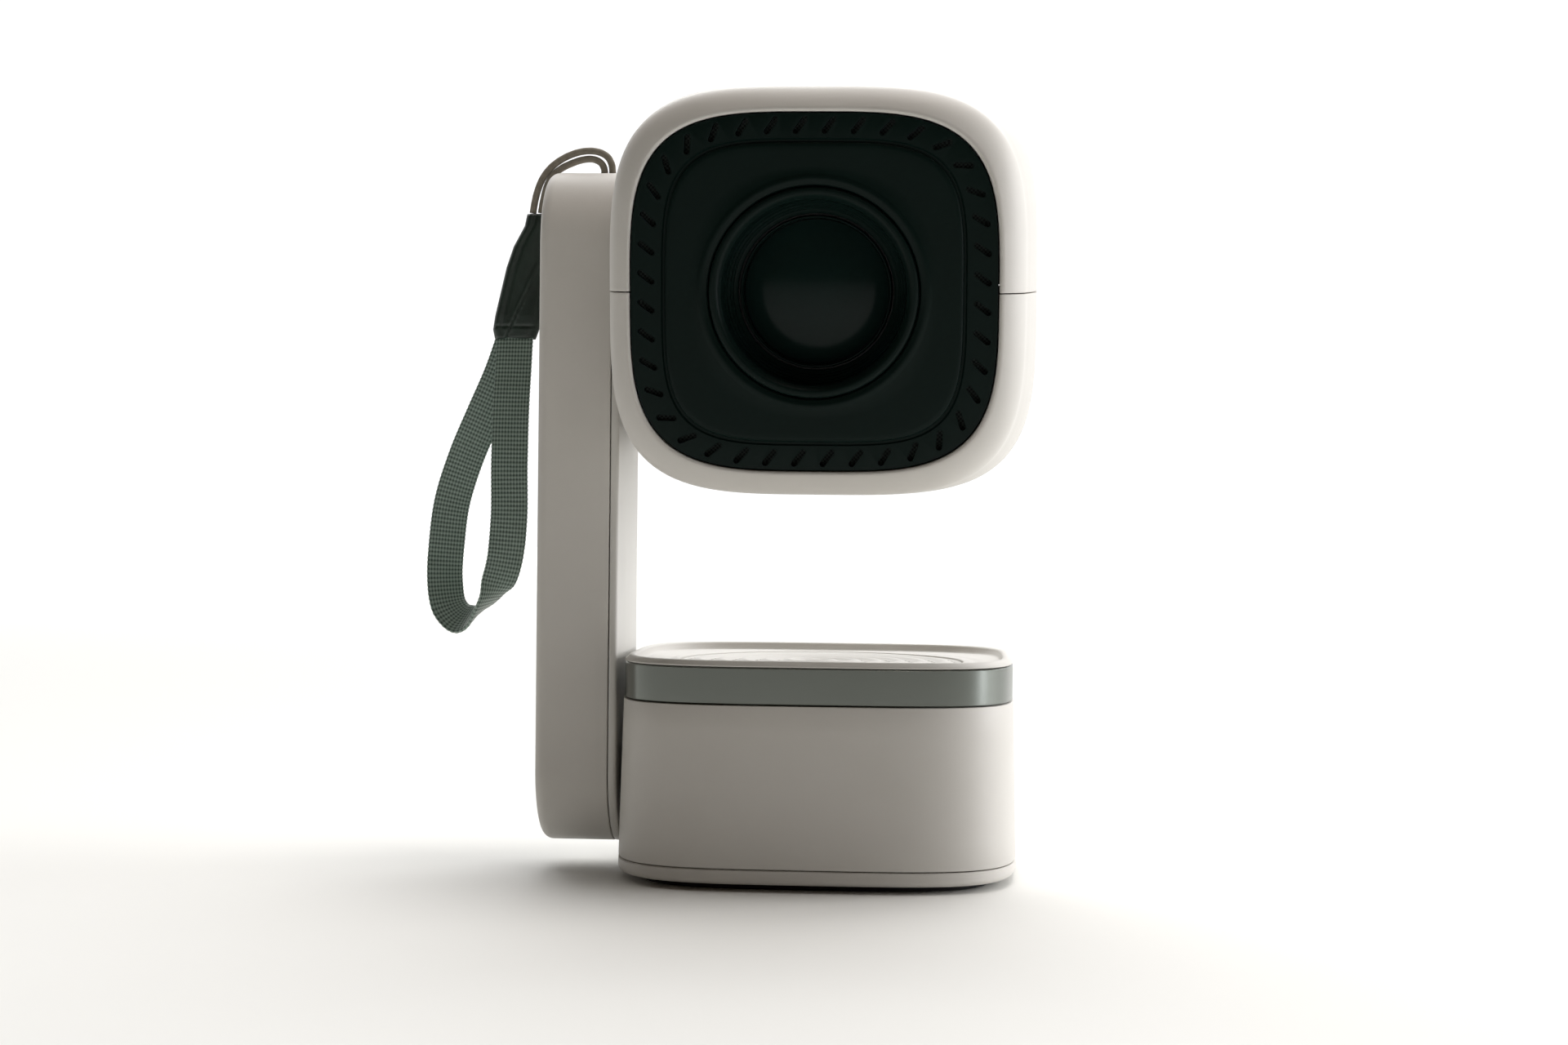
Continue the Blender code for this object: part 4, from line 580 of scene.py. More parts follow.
band_bm = bmesh.new()
chamfer = 0.45
band_low.z -= 0.2
band_high.z += 0.2
profile = [band_ring(band_low.z, chamfer), band_ring(band_low.z + chamfer),
           band_ring(band_low.z + chamfer + 0.1), band_ring(band_high.z - chamfer - 0.1),
           band_ring(band_high.z - chamfer), band_ring(band_high.z, chamfer),
           band_ring(band_high.z, 1.8), band_ring(band_low.z, 1.8)]
ring_wall(band_bm, profile + profile[:1], 200, closed=True)
alloy, tree, shader = new_finish("anodised_aluminium", "#b9b9b6", 0.34, 1.0)
place = add_node(tree, "ShaderNodeTexCoord")
blast = add_node(tree, "ShaderNodeTexNoise", {"Vector": place.outputs["Object"], "Scale": 3500.0, "Detail": 2.0})
cloud = add_node(tree, "ShaderNodeTexNoise", {"Vector": place.outputs["Object"], "Scale": 60.0, "Detail": 3.0})
gloss = add_node(tree, "ShaderNodeMapRange", {"Value": cloud.outputs["Fac"], "To Min": 0.22, "To Max": 0.28})
tree.links.new(gloss.outputs["Result"], shader.inputs["Roughness"])
tone = add_node(tree, "ShaderNodeMix", {"Factor": blast.outputs["Fac"], 6: linear("#70746f"),
                                        7: linear("#828681")}, data_type="RGBA")
tree.links.new(tone.outputs[2], shader.inputs["Base Color"])
relief = add_node(tree, "ShaderNodeBump", {"Height": blast.outputs["Fac"], "Strength": 0.12, "Distance": 0.00002})
tree.links.new(relief.outputs["Normal"], shader.inputs["Normal"])
settle("silver_band", band_bm, alloy, "base", ("trim_band",), smooth=25)


# ---------------------------------------------------------------- top cover
# The base's lid: a raised rounded rim round a sunken field, which is moulded in shallow rings that
# spread out from the loudspeaker's grille in its middle.
RIM_WIDTH = 3.2
FIELD_DROP = 2.1
COVER_WALL = 2.0
RIPPLE_PITCH = 6.4
RIPPLE_HEIGHT = 0.8
grille_low, grille_high = node_box("speaker_grille")
grille_radius = grille_high.x
field_z = cover_high.z - FIELD_DROP
rim_half = base_half(band_low.z, 0.25)


def rim_ring(z, inset=0.0):
    return flat_ring(rim_half[0] - inset, rim_half[1] - inset, z, BASE_POWER)


def ripple(radius):
    """The height of the moulded rings above the field's lowest level."""
    fade = 1 - soft_step(radius, 41.0, 46.5)
    return RIPPLE_HEIGHT * (0.5 - 0.5 * math.cos(2 * math.pi * radius / RIPPLE_PITCH)) * fade


def round_ring(radius, z):
    def ring(angle):
        return Vector((math.cos(angle) * radius, math.sin(angle) * radius, z))
    return ring


profile = [rim_ring(cover_high.z - 1.6, 0.15), rim_ring(cover_high.z - 1.5, 0.05), rim_ring(cover_high.z - 1.35)]
for drop, inset in ((1.15, 0.06), (1.0, 0.18), (0.3, 1.02), (0.14, 1.25), (0.04, 1.5), (0.0, 1.8)):
    profile.append(rim_ring(cover_high.z - drop, inset))
profile.append(rim_ring(cover_high.z, RIM_WIDTH - 0.9))
for i in range(1, 6):
    angle = math.pi / 2 * i / 5
    profile.append(rim_ring(cover_high.z - 0.8 * (1 - math.cos(angle)), RIM_WIDTH - 0.9 + math.sin(angle) * 0.8))
for i in range(1, 6):
    angle = math.pi / 2 * i / 5
    profile.append(rim_ring(field_z + 1.3 - math.sin(angle) * 1.3, RIM_WIDTH + 0.1 + (1 - math.cos(angle)) * 0.9))
edge_in = RIM_WIDTH + 1.0
for share in (0.12, 0.35, 0.6, 0.8):
    def ring(angle, share=share):
        outer = rim_ring(field_z, edge_in)(angle)
        inner = round_ring(46.0, field_z)(angle)
        return outer.lerp(inner, share)
    profile.append(ring)
radius = 46.0
while radius > grille_radius + GAP:
    profile.append(round_ring(radius, field_z + ripple(radius)
                              - RIPPLE_HEIGHT * (1 - soft_step(radius, 41.0, 46.0))))
    radius -= 0.45
under = field_z - COVER_WALL
profile += [round_ring(grille_radius + GAP, field_z - RIPPLE_HEIGHT), round_ring(grille_radius + GAP, under),
            rim_ring(under, 4.35), rim_ring(cover_low.z, 4.35), rim_ring(cover_low.z, 2.35),
            rim_ring(cover_high.z - 1.6, 2.35)]
cover_bm = bmesh.new()
ring_wall(cover_bm, profile + profile[:1], 200, closed=True)
settle("top_lid", cover_bm, casing, "base", ("top_cover",))


# ---------------------------------------------------------------- speaker grille
# A round ABS disc in the lid, moulded in the same rings, with small sound holes along each trough.
# It snaps into the lid over the loudspeaker.
def turned(bm, profile, steps=96):
    """Spins a profile (radius, height) about the upright axis into one closed shape."""
    points = [bm.verts.new((radius, 0, height)) for radius, height in profile]
    edges = [bm.edges.new(pair) for pair in zip(points, points[1:])]
    if profile[0][0] > 0 and profile[-1][0] > 0:
        edges.append(bm.edges.new((points[-1], points[0])))
    bmesh.ops.spin(bm, geom=points + edges, cent=(0, 0, 0), axis=(0, 0, 1), angle=2 * math.pi, steps=steps,
                   use_merge=True)
    bmesh.ops.remove_doubles(bm, verts=bm.verts, dist=0.0005)


def softened(bm, width, segments=2, angle=28):
    """Rounds every edge that is sharper than the angle."""
    bmesh.ops.recalc_face_normals(bm, faces=bm.faces)
    sharp = [edge for edge in bm.edges
             if len(edge.link_faces) == 2 and edge.calc_face_angle(0) > math.radians(angle)]
    bmesh.ops.bevel(bm, geom=sharp, offset=width, segments=segments, profile=0.5, affect="EDGES",
                    clamp_overlap=True, material=-1)


profile = [(0, grille_low.z), (grille_radius, grille_low.z), (grille_radius, field_z - RIPPLE_HEIGHT - 0.1)]
radius = grille_radius - 0.15
while radius > 0.3:
    profile.append((radius, field_z - RIPPLE_HEIGHT + ripple(radius)))
    radius -= 0.46
profile.append((0, field_z - RIPPLE_HEIGHT))
grille_bm = bmesh.new()
turned(grille_bm, profile[::-1], 120)
holes = []
for number in range(1, 7):
    radius = number * RIPPLE_PITCH
    around = round(2 * math.pi * radius / 3.6)
    holes += [(math.cos(2 * math.pi * i / around) * radius, math.sin(2 * math.pi * i / around) * radius)
              for i in range(around)]
grille_bm = carved(grille_bm, [drill(holes, 0.65, grille_low.z - 2, field_z + 3, 8)])
settle("sound_grille", grille_bm, casing, "base", ("speaker_grille",))


# ---------------------------------------------------------------- arm
# A deep outer shell in white ABS with a full radius at both ends and a soft outer edge, closed by a
# flat inner cover. Between them runs a hairline joint all the way round.
arm_low, arm_high = node_box("arm_shell")
lid_low, lid_high = node_box("arm_cover")
ARM_EDGE = 3.0
arm_radius = (arm_high.y - arm_low.y) / 2


def stadium_ring(x, inset=0.0):
    """The arm's round-ended outline at x: a circle whose upper half is lifted to the crown."""
    def ring(angle):
        radius = arm_radius - inset
        middle = arm_high.z - arm_radius if angle < math.pi else arm_low.z + arm_radius
        return Vector((x, math.cos(angle) * radius, middle + math.sin(angle) * radius))
    return ring


outside = [stadium_ring(arm_low.x, ARM_EDGE + 0.4)]
for i in range(9):
    angle = math.pi / 2 * i / 8
    outside.append(stadium_ring(arm_low.x + ARM_EDGE * (1 - math.cos(angle)), ARM_EDGE * (1 - math.sin(angle))))
outside += [stadium_ring(arm_low.x + ARM_EDGE + 0.4), stadium_ring(arm_high.x - 0.55),
            stadium_ring(arm_high.x - 0.25), stadium_ring(arm_high.x - 0.07, 0.07), stadium_ring(arm_high.x, 0.25)]
inside = [stadium_ring(arm_high.x, WALL), stadium_ring(arm_low.x + ARM_EDGE, WALL),
          stadium_ring(arm_low.x + WALL, ARM_EDGE + 0.6)]
arm_bm = bmesh.new()
ring_wall(arm_bm, outside + inside, 128, caps=True)
slot_bm = bmesh.new()
bmesh.ops.create_cube(slot_bm, size=1)
bmesh.ops.scale(slot_bm, vec=(5.8, 3.6, 8), verts=slot_bm.verts)
bmesh.ops.translate(slot_bm, vec=(-63.4, CORD_Y, arm_high.z), verts=slot_bm.verts)
slot_edges = [edge for edge in slot_bm.edges if abs((edge.verts[0].co - edge.verts[1].co).normalized().z) > 0.9]
bmesh.ops.bevel(slot_bm, geom=slot_edges, offset=1.5, segments=5, profile=0.5, affect="EDGES", material=-1)
arm_bm = carved(arm_bm, [slot_bm])
settle("arm_housing", arm_bm, casing, "arm", ("arm_shell",))

cover_bm = bmesh.new()
ring_wall(cover_bm, [stadium_ring(lid_low.x, 0.25), stadium_ring(lid_low.x + 0.07, 0.07),
                     stadium_ring(lid_low.x + 0.25), stadium_ring(lid_high.x - 0.8),
                     stadium_ring(lid_high.x - 0.5, 0.06), stadium_ring(lid_high.x - 0.23, 0.23),
                     stadium_ring(lid_high.x - 0.06, 0.5), stadium_ring(lid_high.x, 0.8)], 128, caps=True)
joints = {joint["name"]: joint for joint in frame["joints"]}
lean_z = joints["arm_lean"]["pos_m"][2] / MM
tilt_z = joints["head_tilt"]["pos_m"][2] / MM
tools = []
for radius, z in ((6.3, lean_z), (7.1, tilt_z)):
    tool = bmesh.new()
    bmesh.ops.create_cone(tool, cap_ends=True, segments=48, radius1=radius, radius2=radius, depth=14)
    bmesh.ops.transform(tool, verts=tool.verts, matrix=(
        Matrix.Translation((lid_low.x, 0, z)) @ Matrix.Rotation(math.pi / 2, 4, "Y")))
    tools.append(tool)
cover_bm = carved(cover_bm, tools)

# The cover is the same ABS with a finer, slightly glossier texture.
satin, tree, shader = new_finish("satin_white_abs", "#d3d1cc", 0.4, Specular_IOR_Level=0.5)
place = add_node(tree, "ShaderNodeTexCoord")
grain = add_node(tree, "ShaderNodeTexNoise", {"Vector": place.outputs["Object"], "Scale": 3200.0, "Detail": 2.0})
cloud = add_node(tree, "ShaderNodeTexNoise", {"Vector": place.outputs["Object"], "Scale": 60.0, "Detail": 3.0})
tone = add_node(tree, "ShaderNodeMix", {"Factor": cloud.outputs["Fac"], 6: linear("#cfcdc8"),
                                        7: linear("#d8d6d1")}, data_type="RGBA")
tree.links.new(tone.outputs[2], shader.inputs["Base Color"])
relief = add_node(tree, "ShaderNodeBump", {"Height": grain.outputs["Fac"], "Strength": 0.15, "Distance": 0.00005})
tree.links.new(relief.outputs["Normal"], shader.inputs["Normal"])
settle("arm_inner_cover", cover_bm, satin, "arm", ("arm_cover",))


# ---------------------------------------------------------------- head shells
# Two hollow half shells in white ABS, parted along the head's middle and clipped together. In front
# they draw in to a smooth ring round the dark panel; behind, a soft shoulder runs to the rear plate.
rest_tilt = math.asin(-joints["focus_turn"]["axis"][2])
HEAD_PLACE = Matrix.Translation((0, 0, tilt_z)) @ Matrix.Rotation(rest_tilt, 4, "X")
TO_FRONT = HEAD_PLACE @ Matrix.Rotation(math.pi / 2, 4, "X")
HEAD_FRONT, HEAD_BACK = -60.0, 55.0
PANEL_HALF = (48.7, 47.2)
REAR_HALF = (46.0, 44.2)
# depth behind the front, half width, half height, exponent and shift to the right
HEAD_STATIONS = ((9.0, 55.7, 54.35, 3.76, 0.5), (12, 56.2, 54.8, 3.8, 0.8), (26, 57.5, 55.8, 3.95, 1.7),
                 (42, 57.8, 56.0, 4.0, 2.0), (88, 57.8, 56.0, 4.0, 2.0), (102, 56.6, 54.8, 4.0, 2.0),
                 (110, 53.8, 52.0, 4.0, 2.0), (114, 49.5, 47.7, 4.0, 2.0), (115, 46.0, 44.2, 4.0, 2.0))


def stand_ring(y, half_x, half_z, power=4.0, shift=0.0):
    """A rounded-square ring standing across the head at depth y."""
    def ring(angle):
        x, z = rounded(angle, half_x, half_z, power, shift)
        return Vector((x, y, z))
    return ring


def head_section(depth):
    """The head's section at a depth behind its front, blended smoothly between the stations."""
    rows = [HEAD_STATIONS[0], *HEAD_STATIONS, HEAD_STATIONS[-1]]
    for a, b, c, d in zip(rows, rows[1:], rows[2:], rows[3:]):
        if depth <= c[0]:
            t = (depth - b[0]) / (c[0] - b[0])
            made = []
            for i in range(1, 5):
                before = (c[i] - a[i]) / max(c[0] - a[0], 0.1) * (c[0] - b[0])
                after = (d[i] - b[i]) / max(d[0] - b[0], 0.1) * (c[0] - b[0])
                made.append(b[i] * (2 * t ** 3 - 3 * t ** 2 + 1) + before * (t ** 3 - 2 * t ** 2 + t)
                            + c[i] * (3 * t ** 2 - 2 * t ** 3) + after * (t ** 3 - t ** 2))
            return made
    return list(HEAD_STATIONS[-1][1:])


lip_x, lip_z = PANEL_HALF[0] + GAP, PANEL_HALF[1] + GAP
rings = [stand_ring(HEAD_FRONT + 3.4, lip_x, lip_z, 3.62), stand_ring(HEAD_FRONT + 1.0, lip_x, lip_z, 3.62)]
for i in range(7):
    angle = math.pi / 2 * i / 6
    rings.append(stand_ring(HEAD_FRONT + 0.8 * (1 - math.sin(angle)), lip_x + 0.8 * (1 - math.cos(angle)),
                            lip_z + 0.8 * (1 - math.cos(angle)), 3.62))
lean = math.radians(28)    # the ring already slopes back where it leaves the panel
for i in range(1, 15):
    angle = lean + (math.pi / 2 - lean) * i / 15
    wide = (math.sin(angle) - math.sin(lean)) / (1 - math.sin(lean))
    rings.append(stand_ring(HEAD_FRONT + 9.0 * (1 - math.cos(angle) / math.cos(lean)),
                            lip_x + 0.8 + (55.75 - lip_x - 0.8) * wide,
                            lip_z + 0.8 + (54.4 - lip_z - 0.8) * wide, 3.62 + 0.14 * wide, 0.5 * wide ** 4))
for depth in (9.5, 12, 15, 18, 22, 26, 30, 34, 38, 42, 50, 65, 80, 85, 88, 91, 94, 97, 100, 102, 104,
              106, 108, 109.5, 111, 112.2, 113.2, 114, 114.6, 115):
    half_x, half_z, power, shift = head_section(depth)
    rings.append(stand_ring(HEAD_FRONT + depth, half_x, half_z, power, shift))
rings += [stand_ring(HEAD_BACK - WALL * 2, *REAR_HALF, 4.0, 2.0), stand_ring(44, 52.3, 50.5, 4.0, 2.0),
          stand_ring(28, 55.6, 53.8, 4.0, 2.0), stand_ring(-34, 55.3, 53.6, 3.95, 1.7),
          stand_ring(-50, 53.1, 51.9, 3.8, 0.4), stand_ring(-56.6, 51.9, 50.7, 3.7)]
for name, node, side in (("head_upper_half", "head_upper_shell", 1), ("head_lower_half", "head_lower_shell", -1)):
    half_bm = bmesh.new()
    ring_wall(half_bm, rings + rings[:1], 192, closed=True)
    parted = bmesh.ops.bisect_plane(half_bm, geom=half_bm.verts[:] + half_bm.edges[:] + half_bm.faces[:],
                                    dist=0.0001, plane_co=(0, 0, side * GAP / 2), plane_no=(0, 0, side),
                                    clear_inner=True)
    rim = [part for part in parted["geom_cut"] if isinstance(part, bmesh.types.BMEdge)]
    bmesh.ops.edgenet_fill(half_bm, edges=rim)
    bmesh.ops.recalc_face_normals(half_bm, faces=half_bm.faces)
    rim = [edge for edge in half_bm.edges if len(edge.link_faces) == 2
           and all(abs(vert.co.z - side * GAP / 2) < 0.001 for vert in edge.verts)]
    bmesh.ops.bevel(half_bm, geom=rim, offset=0.18, segments=2, profile=0.5, affect="EDGES",
                    clamp_overlap=True, material=-1)
    shaft = bmesh.new()
    bmesh.ops.create_cone(shaft, cap_ends=True, segments=48, radius1=7.1, radius2=7.1, depth=14)
    bmesh.ops.transform(shaft, verts=shaft.verts, matrix=(
        Matrix.Translation((-55.8, 0, 0)) @ Matrix.Rotation(math.pi / 2, 4, "Y")))
    half_bm = carved(half_bm, [shaft])
    settle(name, half_bm, casing, "head", (node,), turn=HEAD_PLACE, smooth=40)


# ---------------------------------------------------------------- front panel
# A dark green-black polycarbonate plate, pressed into the ring. Forty slanted air slots run round a
# raised rounded square, and a low lip surrounds the lens.
PANEL_FACE = HEAD_FRONT + 0.8
PANEL_BACK = PANEL_FACE + 2.4
RAISED_HALF = 38.7
RAISED_FACE = PANEL_FACE - 0.7
SLOT_COUNT = 40
SLOT_LENGTH, SLOT_WIDTH = 5.4, 1.6
SLOT_SWIRL = math.radians(37)
LENS_HOLE = 28.2


def blended_ring(y, radius, share):
    """A ring between a circle round the lens and the raised square's edge."""
    def ring(angle):
        x, z = rounded(angle, RAISED_HALF - 1.2, RAISED_HALF - 1.2, 4.0)
        flat = Vector((math.cos(angle) * radius, y, math.sin(angle) * radius))
        return flat.lerp(Vector((x, y, z)), share)
    return ring


rings = [stand_ring(PANEL_BACK, *PANEL_HALF, 3.62), stand_ring(PANEL_FACE + 0.35, *PANEL_HALF, 3.62),
         stand_ring(PANEL_FACE + 0.1, PANEL_HALF[0] - 0.1, PANEL_HALF[1] - 0.1, 3.62),
         stand_ring(PANEL_FACE, PANEL_HALF[0] - 0.35, PANEL_HALF[1] - 0.35, 3.62),
         stand_ring(PANEL_FACE, RAISED_HALF + 1.9, RAISED_HALF + 1.9, 4.0),
         stand_ring(PANEL_FACE + 0.5, RAISED_HALF + 1.5, RAISED_HALF + 1.5, 4.0),
         stand_ring(PANEL_FACE + 0.5, RAISED_HALF + 1.0, RAISED_HALF + 1.0, 4.0)]
for i in range(1, 8):
    angle = math.pi / 2 * i / 7
    rings.append(stand_ring(PANEL_FACE + 0.5 - 1.2 * math.sin(angle), RAISED_HALF + 1.0 - 1.6 * (1 - math.cos(angle)),
                            RAISED_HALF + 1.0 - 1.6 * (1 - math.cos(angle)), 4.0))
rings += [blended_ring(RAISED_FACE, 31.5, share) for share in (0.9, 0.6, 0.3, 0.0)]
for i in range(1, 9):
    share = i / 8
    bulge = 0.55 * math.sin(math.pi * share) ** 1.4
    rings.append(stand_ring(RAISED_FACE - bulge, 31.5 - 3.0 * share, 31.5 - 3.0 * share, 2))
rings += [stand_ring(RAISED_FACE + 0.5, LENS_HOLE, LENS_HOLE, 2), stand_ring(PANEL_BACK, LENS_HOLE, LENS_HOLE, 2)]
panel_bm = bmesh.new()
ring_wall(panel_bm, rings + rings[:1], 192, closed=True)
middle_x, middle_z = (RAISED_HALF + 1.9 + PANEL_HALF[0]) / 2, (RAISED_HALF + 1.9 + PANEL_HALF[1]) / 2
outline = [rounded(2 * math.pi * i / 2400, middle_x, middle_z, 3.62) for i in range(2401)]
reach = [0.0]
for (x0, z0), (x1, z1) in zip(outline, outline[1:]):
    reach.append(reach[-1] + math.hypot(x1 - x0, z1 - z0))
slots_bm = bmesh.new()
k = 0
for number in range(SLOT_COUNT):
    goal = reach[-1] * (number + 0.5) / SLOT_COUNT
    while reach[k + 1] < goal:
        k += 1
    (x0, z0), (x1, z1) = outline[k], outline[k + 1]
    slant = math.atan2(x0 - x1, z1 - z0) - SLOT_SWIRL
    verts = bmesh.ops.create_cone(slots_bm, cap_ends=True, segments=16, radius1=SLOT_WIDTH / 2,
                                  radius2=SLOT_WIDTH / 2, depth=12)["verts"]
    for vert in verts:
        vert.co.x += math.copysign((SLOT_LENGTH - SLOT_WIDTH) / 2, vert.co.x)
    bmesh.ops.transform(slots_bm, verts=verts, matrix=(
        Matrix.Translation((x0, PANEL_FACE, z0)) @ Matrix.Rotation(-slant, 4, "Y")
        @ Matrix.Rotation(math.pi / 2, 4, "X")))
panel_bm = carved(panel_bm, [slots_bm])

# Polycarbonate, moulded dark green-black with a satin face: broad soft reflections, no sharp ones.
panel_finish, tree, shader = new_finish("satin_dark_polycarbonate", "#0c1916", 0.42, Specular_IOR_Level=0.1)
place = add_node(tree, "ShaderNodeTexCoord")
grain = add_node(tree, "ShaderNodeTexNoise", {"Vector": place.outputs["Object"], "Scale": 2600.0, "Detail": 2.0})
cloud = add_node(tree, "ShaderNodeTexNoise", {"Vector": place.outputs["Object"], "Scale": 50.0, "Detail": 3.0})
tone = add_node(tree, "ShaderNodeMix", {"Factor": cloud.outputs["Fac"], 6: linear("#0b1815"),
                                        7: linear("#0e1d1a")}, data_type="RGBA")
tree.links.new(tone.outputs[2], shader.inputs["Base Color"])
gloss = add_node(tree, "ShaderNodeMapRange", {"Value": cloud.outputs["Fac"], "To Min": 0.32, "To Max": 0.44})
tree.links.new(gloss.outputs["Result"], shader.inputs["Roughness"])
relief = add_node(tree, "ShaderNodeBump", {"Height": grain.outputs["Fac"], "Strength": 0.12, "Distance": 0.00004})
tree.links.new(relief.outputs["Normal"], shader.inputs["Normal"])
settle("dark_front", panel_bm, panel_finish, "head", ("front_panel",), turn=HEAD_PLACE, smooth=30)


# ---------------------------------------------------------------- lens
# A turned bezel with a stepped mouth, then the sliding barrel, and a coated glass element. All three
# share the lens's axis, and the barrel moves in and out to focus.
barrel_front, barrel_radius, glass_radius = 48.5, 20.4, 19.4
face = -RAISED_FACE
bezel_bm = bmesh.new()
mouth = [(25.2, face - 0.4), (25.6, face + 0.3), (26.2, face + 0.7), (27.0, face + 0.7), (27.6, face + 0.35),
         (27.9, face - 0.2), (27.9, 56.5), (30.9, 56.5), (30.9, 54.5), (26.0, 54.5), (23.6, 46.2), (21.0, 46.2),
         (21.0, 47.6), (22.2, 48.3), (22.2, 49.2), (22.9, 49.8), (22.9, 50.8), (23.6, 51.4), (23.6, 52.4),
         (24.2, 53.2), (24.7, face - 1.0)]
turned(bezel_bm, mouth, 160)
softened(bezel_bm, 0.12)
settle("lens_mouth", bezel_bm, panel_finish, "head", ("lens_bezel",), turn=TO_FRONT, smooth=35)

barrel_bm = bmesh.new()
wall = [(glass_radius + 0.3, barrel_front - 0.4), (glass_radius + 0.55, barrel_front), (barrel_radius - 0.3, barrel_front),
        (barrel_radius, barrel_front - 0.3), (barrel_radius, 26.0), (16.4, 22.0), (16.4, 14.0), (14.6, 14.0),
        (14.6, 21.0), (18.2, 26.0), (18.2, 41.0), (glass_radius + 0.3, 41.0)]
turned(barrel_bm, wall, 160)
settle("focus_barrel", barrel_bm, panel_finish, "barrel", ("lens_barrel",), turn=TO_FRONT, smooth=35)

# Coated optical glass, drawn opaque: its nearly black green-blue base colour is painted shade for the dark lens behind
# it and a painted reflection of the coating, with faint random smears.
glass, tree, shader = new_finish("coated_glass", "#16292a", 0.12, Specular_IOR_Level=0.12)
place = add_node(tree, "ShaderNodeTexCoord")
smear = add_node(tree, "ShaderNodeTexNoise", {"Vector": place.outputs["Object"], "Scale": 90.0, "Detail": 2.0})
# The dark green-blue here is painted shade and a painted coating reflection, not a lit glass.
tone = add_node(tree, "ShaderNodeMix", {"Factor": smear.outputs["Fac"], 6: linear("#101e1c"),
                                        7: linear("#142522")}, data_type="RGBA")
tree.links.new(tone.outputs[2], shader.inputs["Base Color"])
gloss = add_node(tree, "ShaderNodeMapRange", {"Value": smear.outputs["Fac"], "To Min": 0.1, "To Max": 0.2})
tree.links.new(gloss.outputs["Result"], shader.inputs["Roughness"])
lens_bm = bmesh.new()
bulge = [(0, 46.6)] + [(glass_radius * i / 14, 43.0 + 3.6 * (1 - (i / 14) ** 2)) for i in range(1, 15)]
bulge += [(glass_radius, 41.6), (10.0, 41.3), (0, 41.3)]
turned(lens_bm, bulge, 128)
settle("front_glass", lens_bm, glass, "barrel", ("front_lens",), turn=TO_FRONT, smooth=40)


# ---------------------------------------------------------------- dust mesh
# A strip of black woven filter cloth behind the air slots keeps dust, and stray light, out of the head. It is drawn
# grey instead of black: painted light that the slots catch.
mesh_bm = bmesh.new()
ring_wall(mesh_bm, [stand_ring(PANEL_BACK + 1.2, *PANEL_HALF, 3.62), stand_ring(PANEL_BACK + 1.2, 33.0, 33.0, 3.0),
                    stand_ring(PANEL_BACK + 1.6, 33.0, 33.0, 3.0), stand_ring(PANEL_BACK + 1.6, *PANEL_HALF, 3.62),
                    stand_ring(PANEL_BACK + 1.2, *PANEL_HALF, 3.62)], 96, closed=True)
filter_cloth, tree, shader = new_finish("woven_filter_cloth", "#0c0e0e", 0.9, Specular_IOR_Level=0.2)
place = add_node(tree, "ShaderNodeTexCoord")
# The checker's greys are lighter than black cloth: painted light, so that the slots look lit.
weave_with_painted_light = add_node(tree, "ShaderNodeTexChecker", {"Vector": place.outputs["Object"], "Scale": 1800.0,
                                                "Color1": linear("#2a302e"), "Color2": linear("#4a524f")})
tree.links.new(weave_with_painted_light.outputs["Color"], shader.inputs["Base Color"])
settle("dust_cloth", mesh_bm, filter_cloth, "head", turn=HEAD_PLACE)


# ---------------------------------------------------------------- rear plate
# A flat white ABS plate set into the head's back with two screws. Nine rounded louvres in front of
# the fan let the warm air out, and the sockets and the power button sit in a row below.
rear_low, rear_high = node_box("rear_panel")
REAR_FACE = HEAD_BACK - 0.8
REAR_WALL = 2.4
LOUVRE_PITCH, LOUVRE_WIDTH, LOUVRE_COUNT = 5.6, 2.8, 9
FAN_RADIUS = 27.0
SOCKET_Z = -34.9
SOCKETS = (("hdmi_socket", -18.0, 15.0, 6.4), ("usb_socket", 2.0, 13.4, 6.4), ("audio_socket", 18.0, 7.0, 6.4))
BUTTON_X, BUTTON_RADIUS = 30.0, 5.0
REAR_SCREWS = ((-33.0, 33.0), (37.0, 33.0))
rear_half = (REAR_HALF[0] - GAP, REAR_HALF[1] - GAP)
rear_bm = bmesh.new()
ring_wall(rear_bm, [stand_ring(REAR_FACE - REAR_WALL, *rear_half, 4.0, 2.0),
                    stand_ring(REAR_FACE - 0.4, *rear_half, 4.0, 2.0),
                    stand_ring(REAR_FACE - 0.12, rear_half[0] - 0.12, rear_half[1] - 0.12, 4.0, 2.0),
                    stand_ring(REAR_FACE, rear_half[0] - 0.4, rear_half[1] - 0.4, 4.0, 2.0)], 160, caps=True)


def rounded_bar(bm, centre, width, height, corner, depth=12.0):
    """A rounded bar along Y, wide in X and high in Z, to cut with."""
    made = bmesh.ops.create_cube(bm, size=1)["verts"]
    bmesh.ops.scale(bm, vec=(width, depth, height), verts=made)
    edges = [edge for edge in {edge for vert in made for edge in vert.link_edges}
             if abs((edge.verts[0].co - edge.verts[1].co).normalized().y) > 0.9]
    rest = set(bm.verts) - set(made)
    bmesh.ops.bevel(bm, geom=edges, offset=corner, segments=5, profile=0.5, affect="EDGES", material=-1)
    bmesh.ops.translate(bm, vec=centre, verts=[vert for vert in bm.verts if vert not in rest])


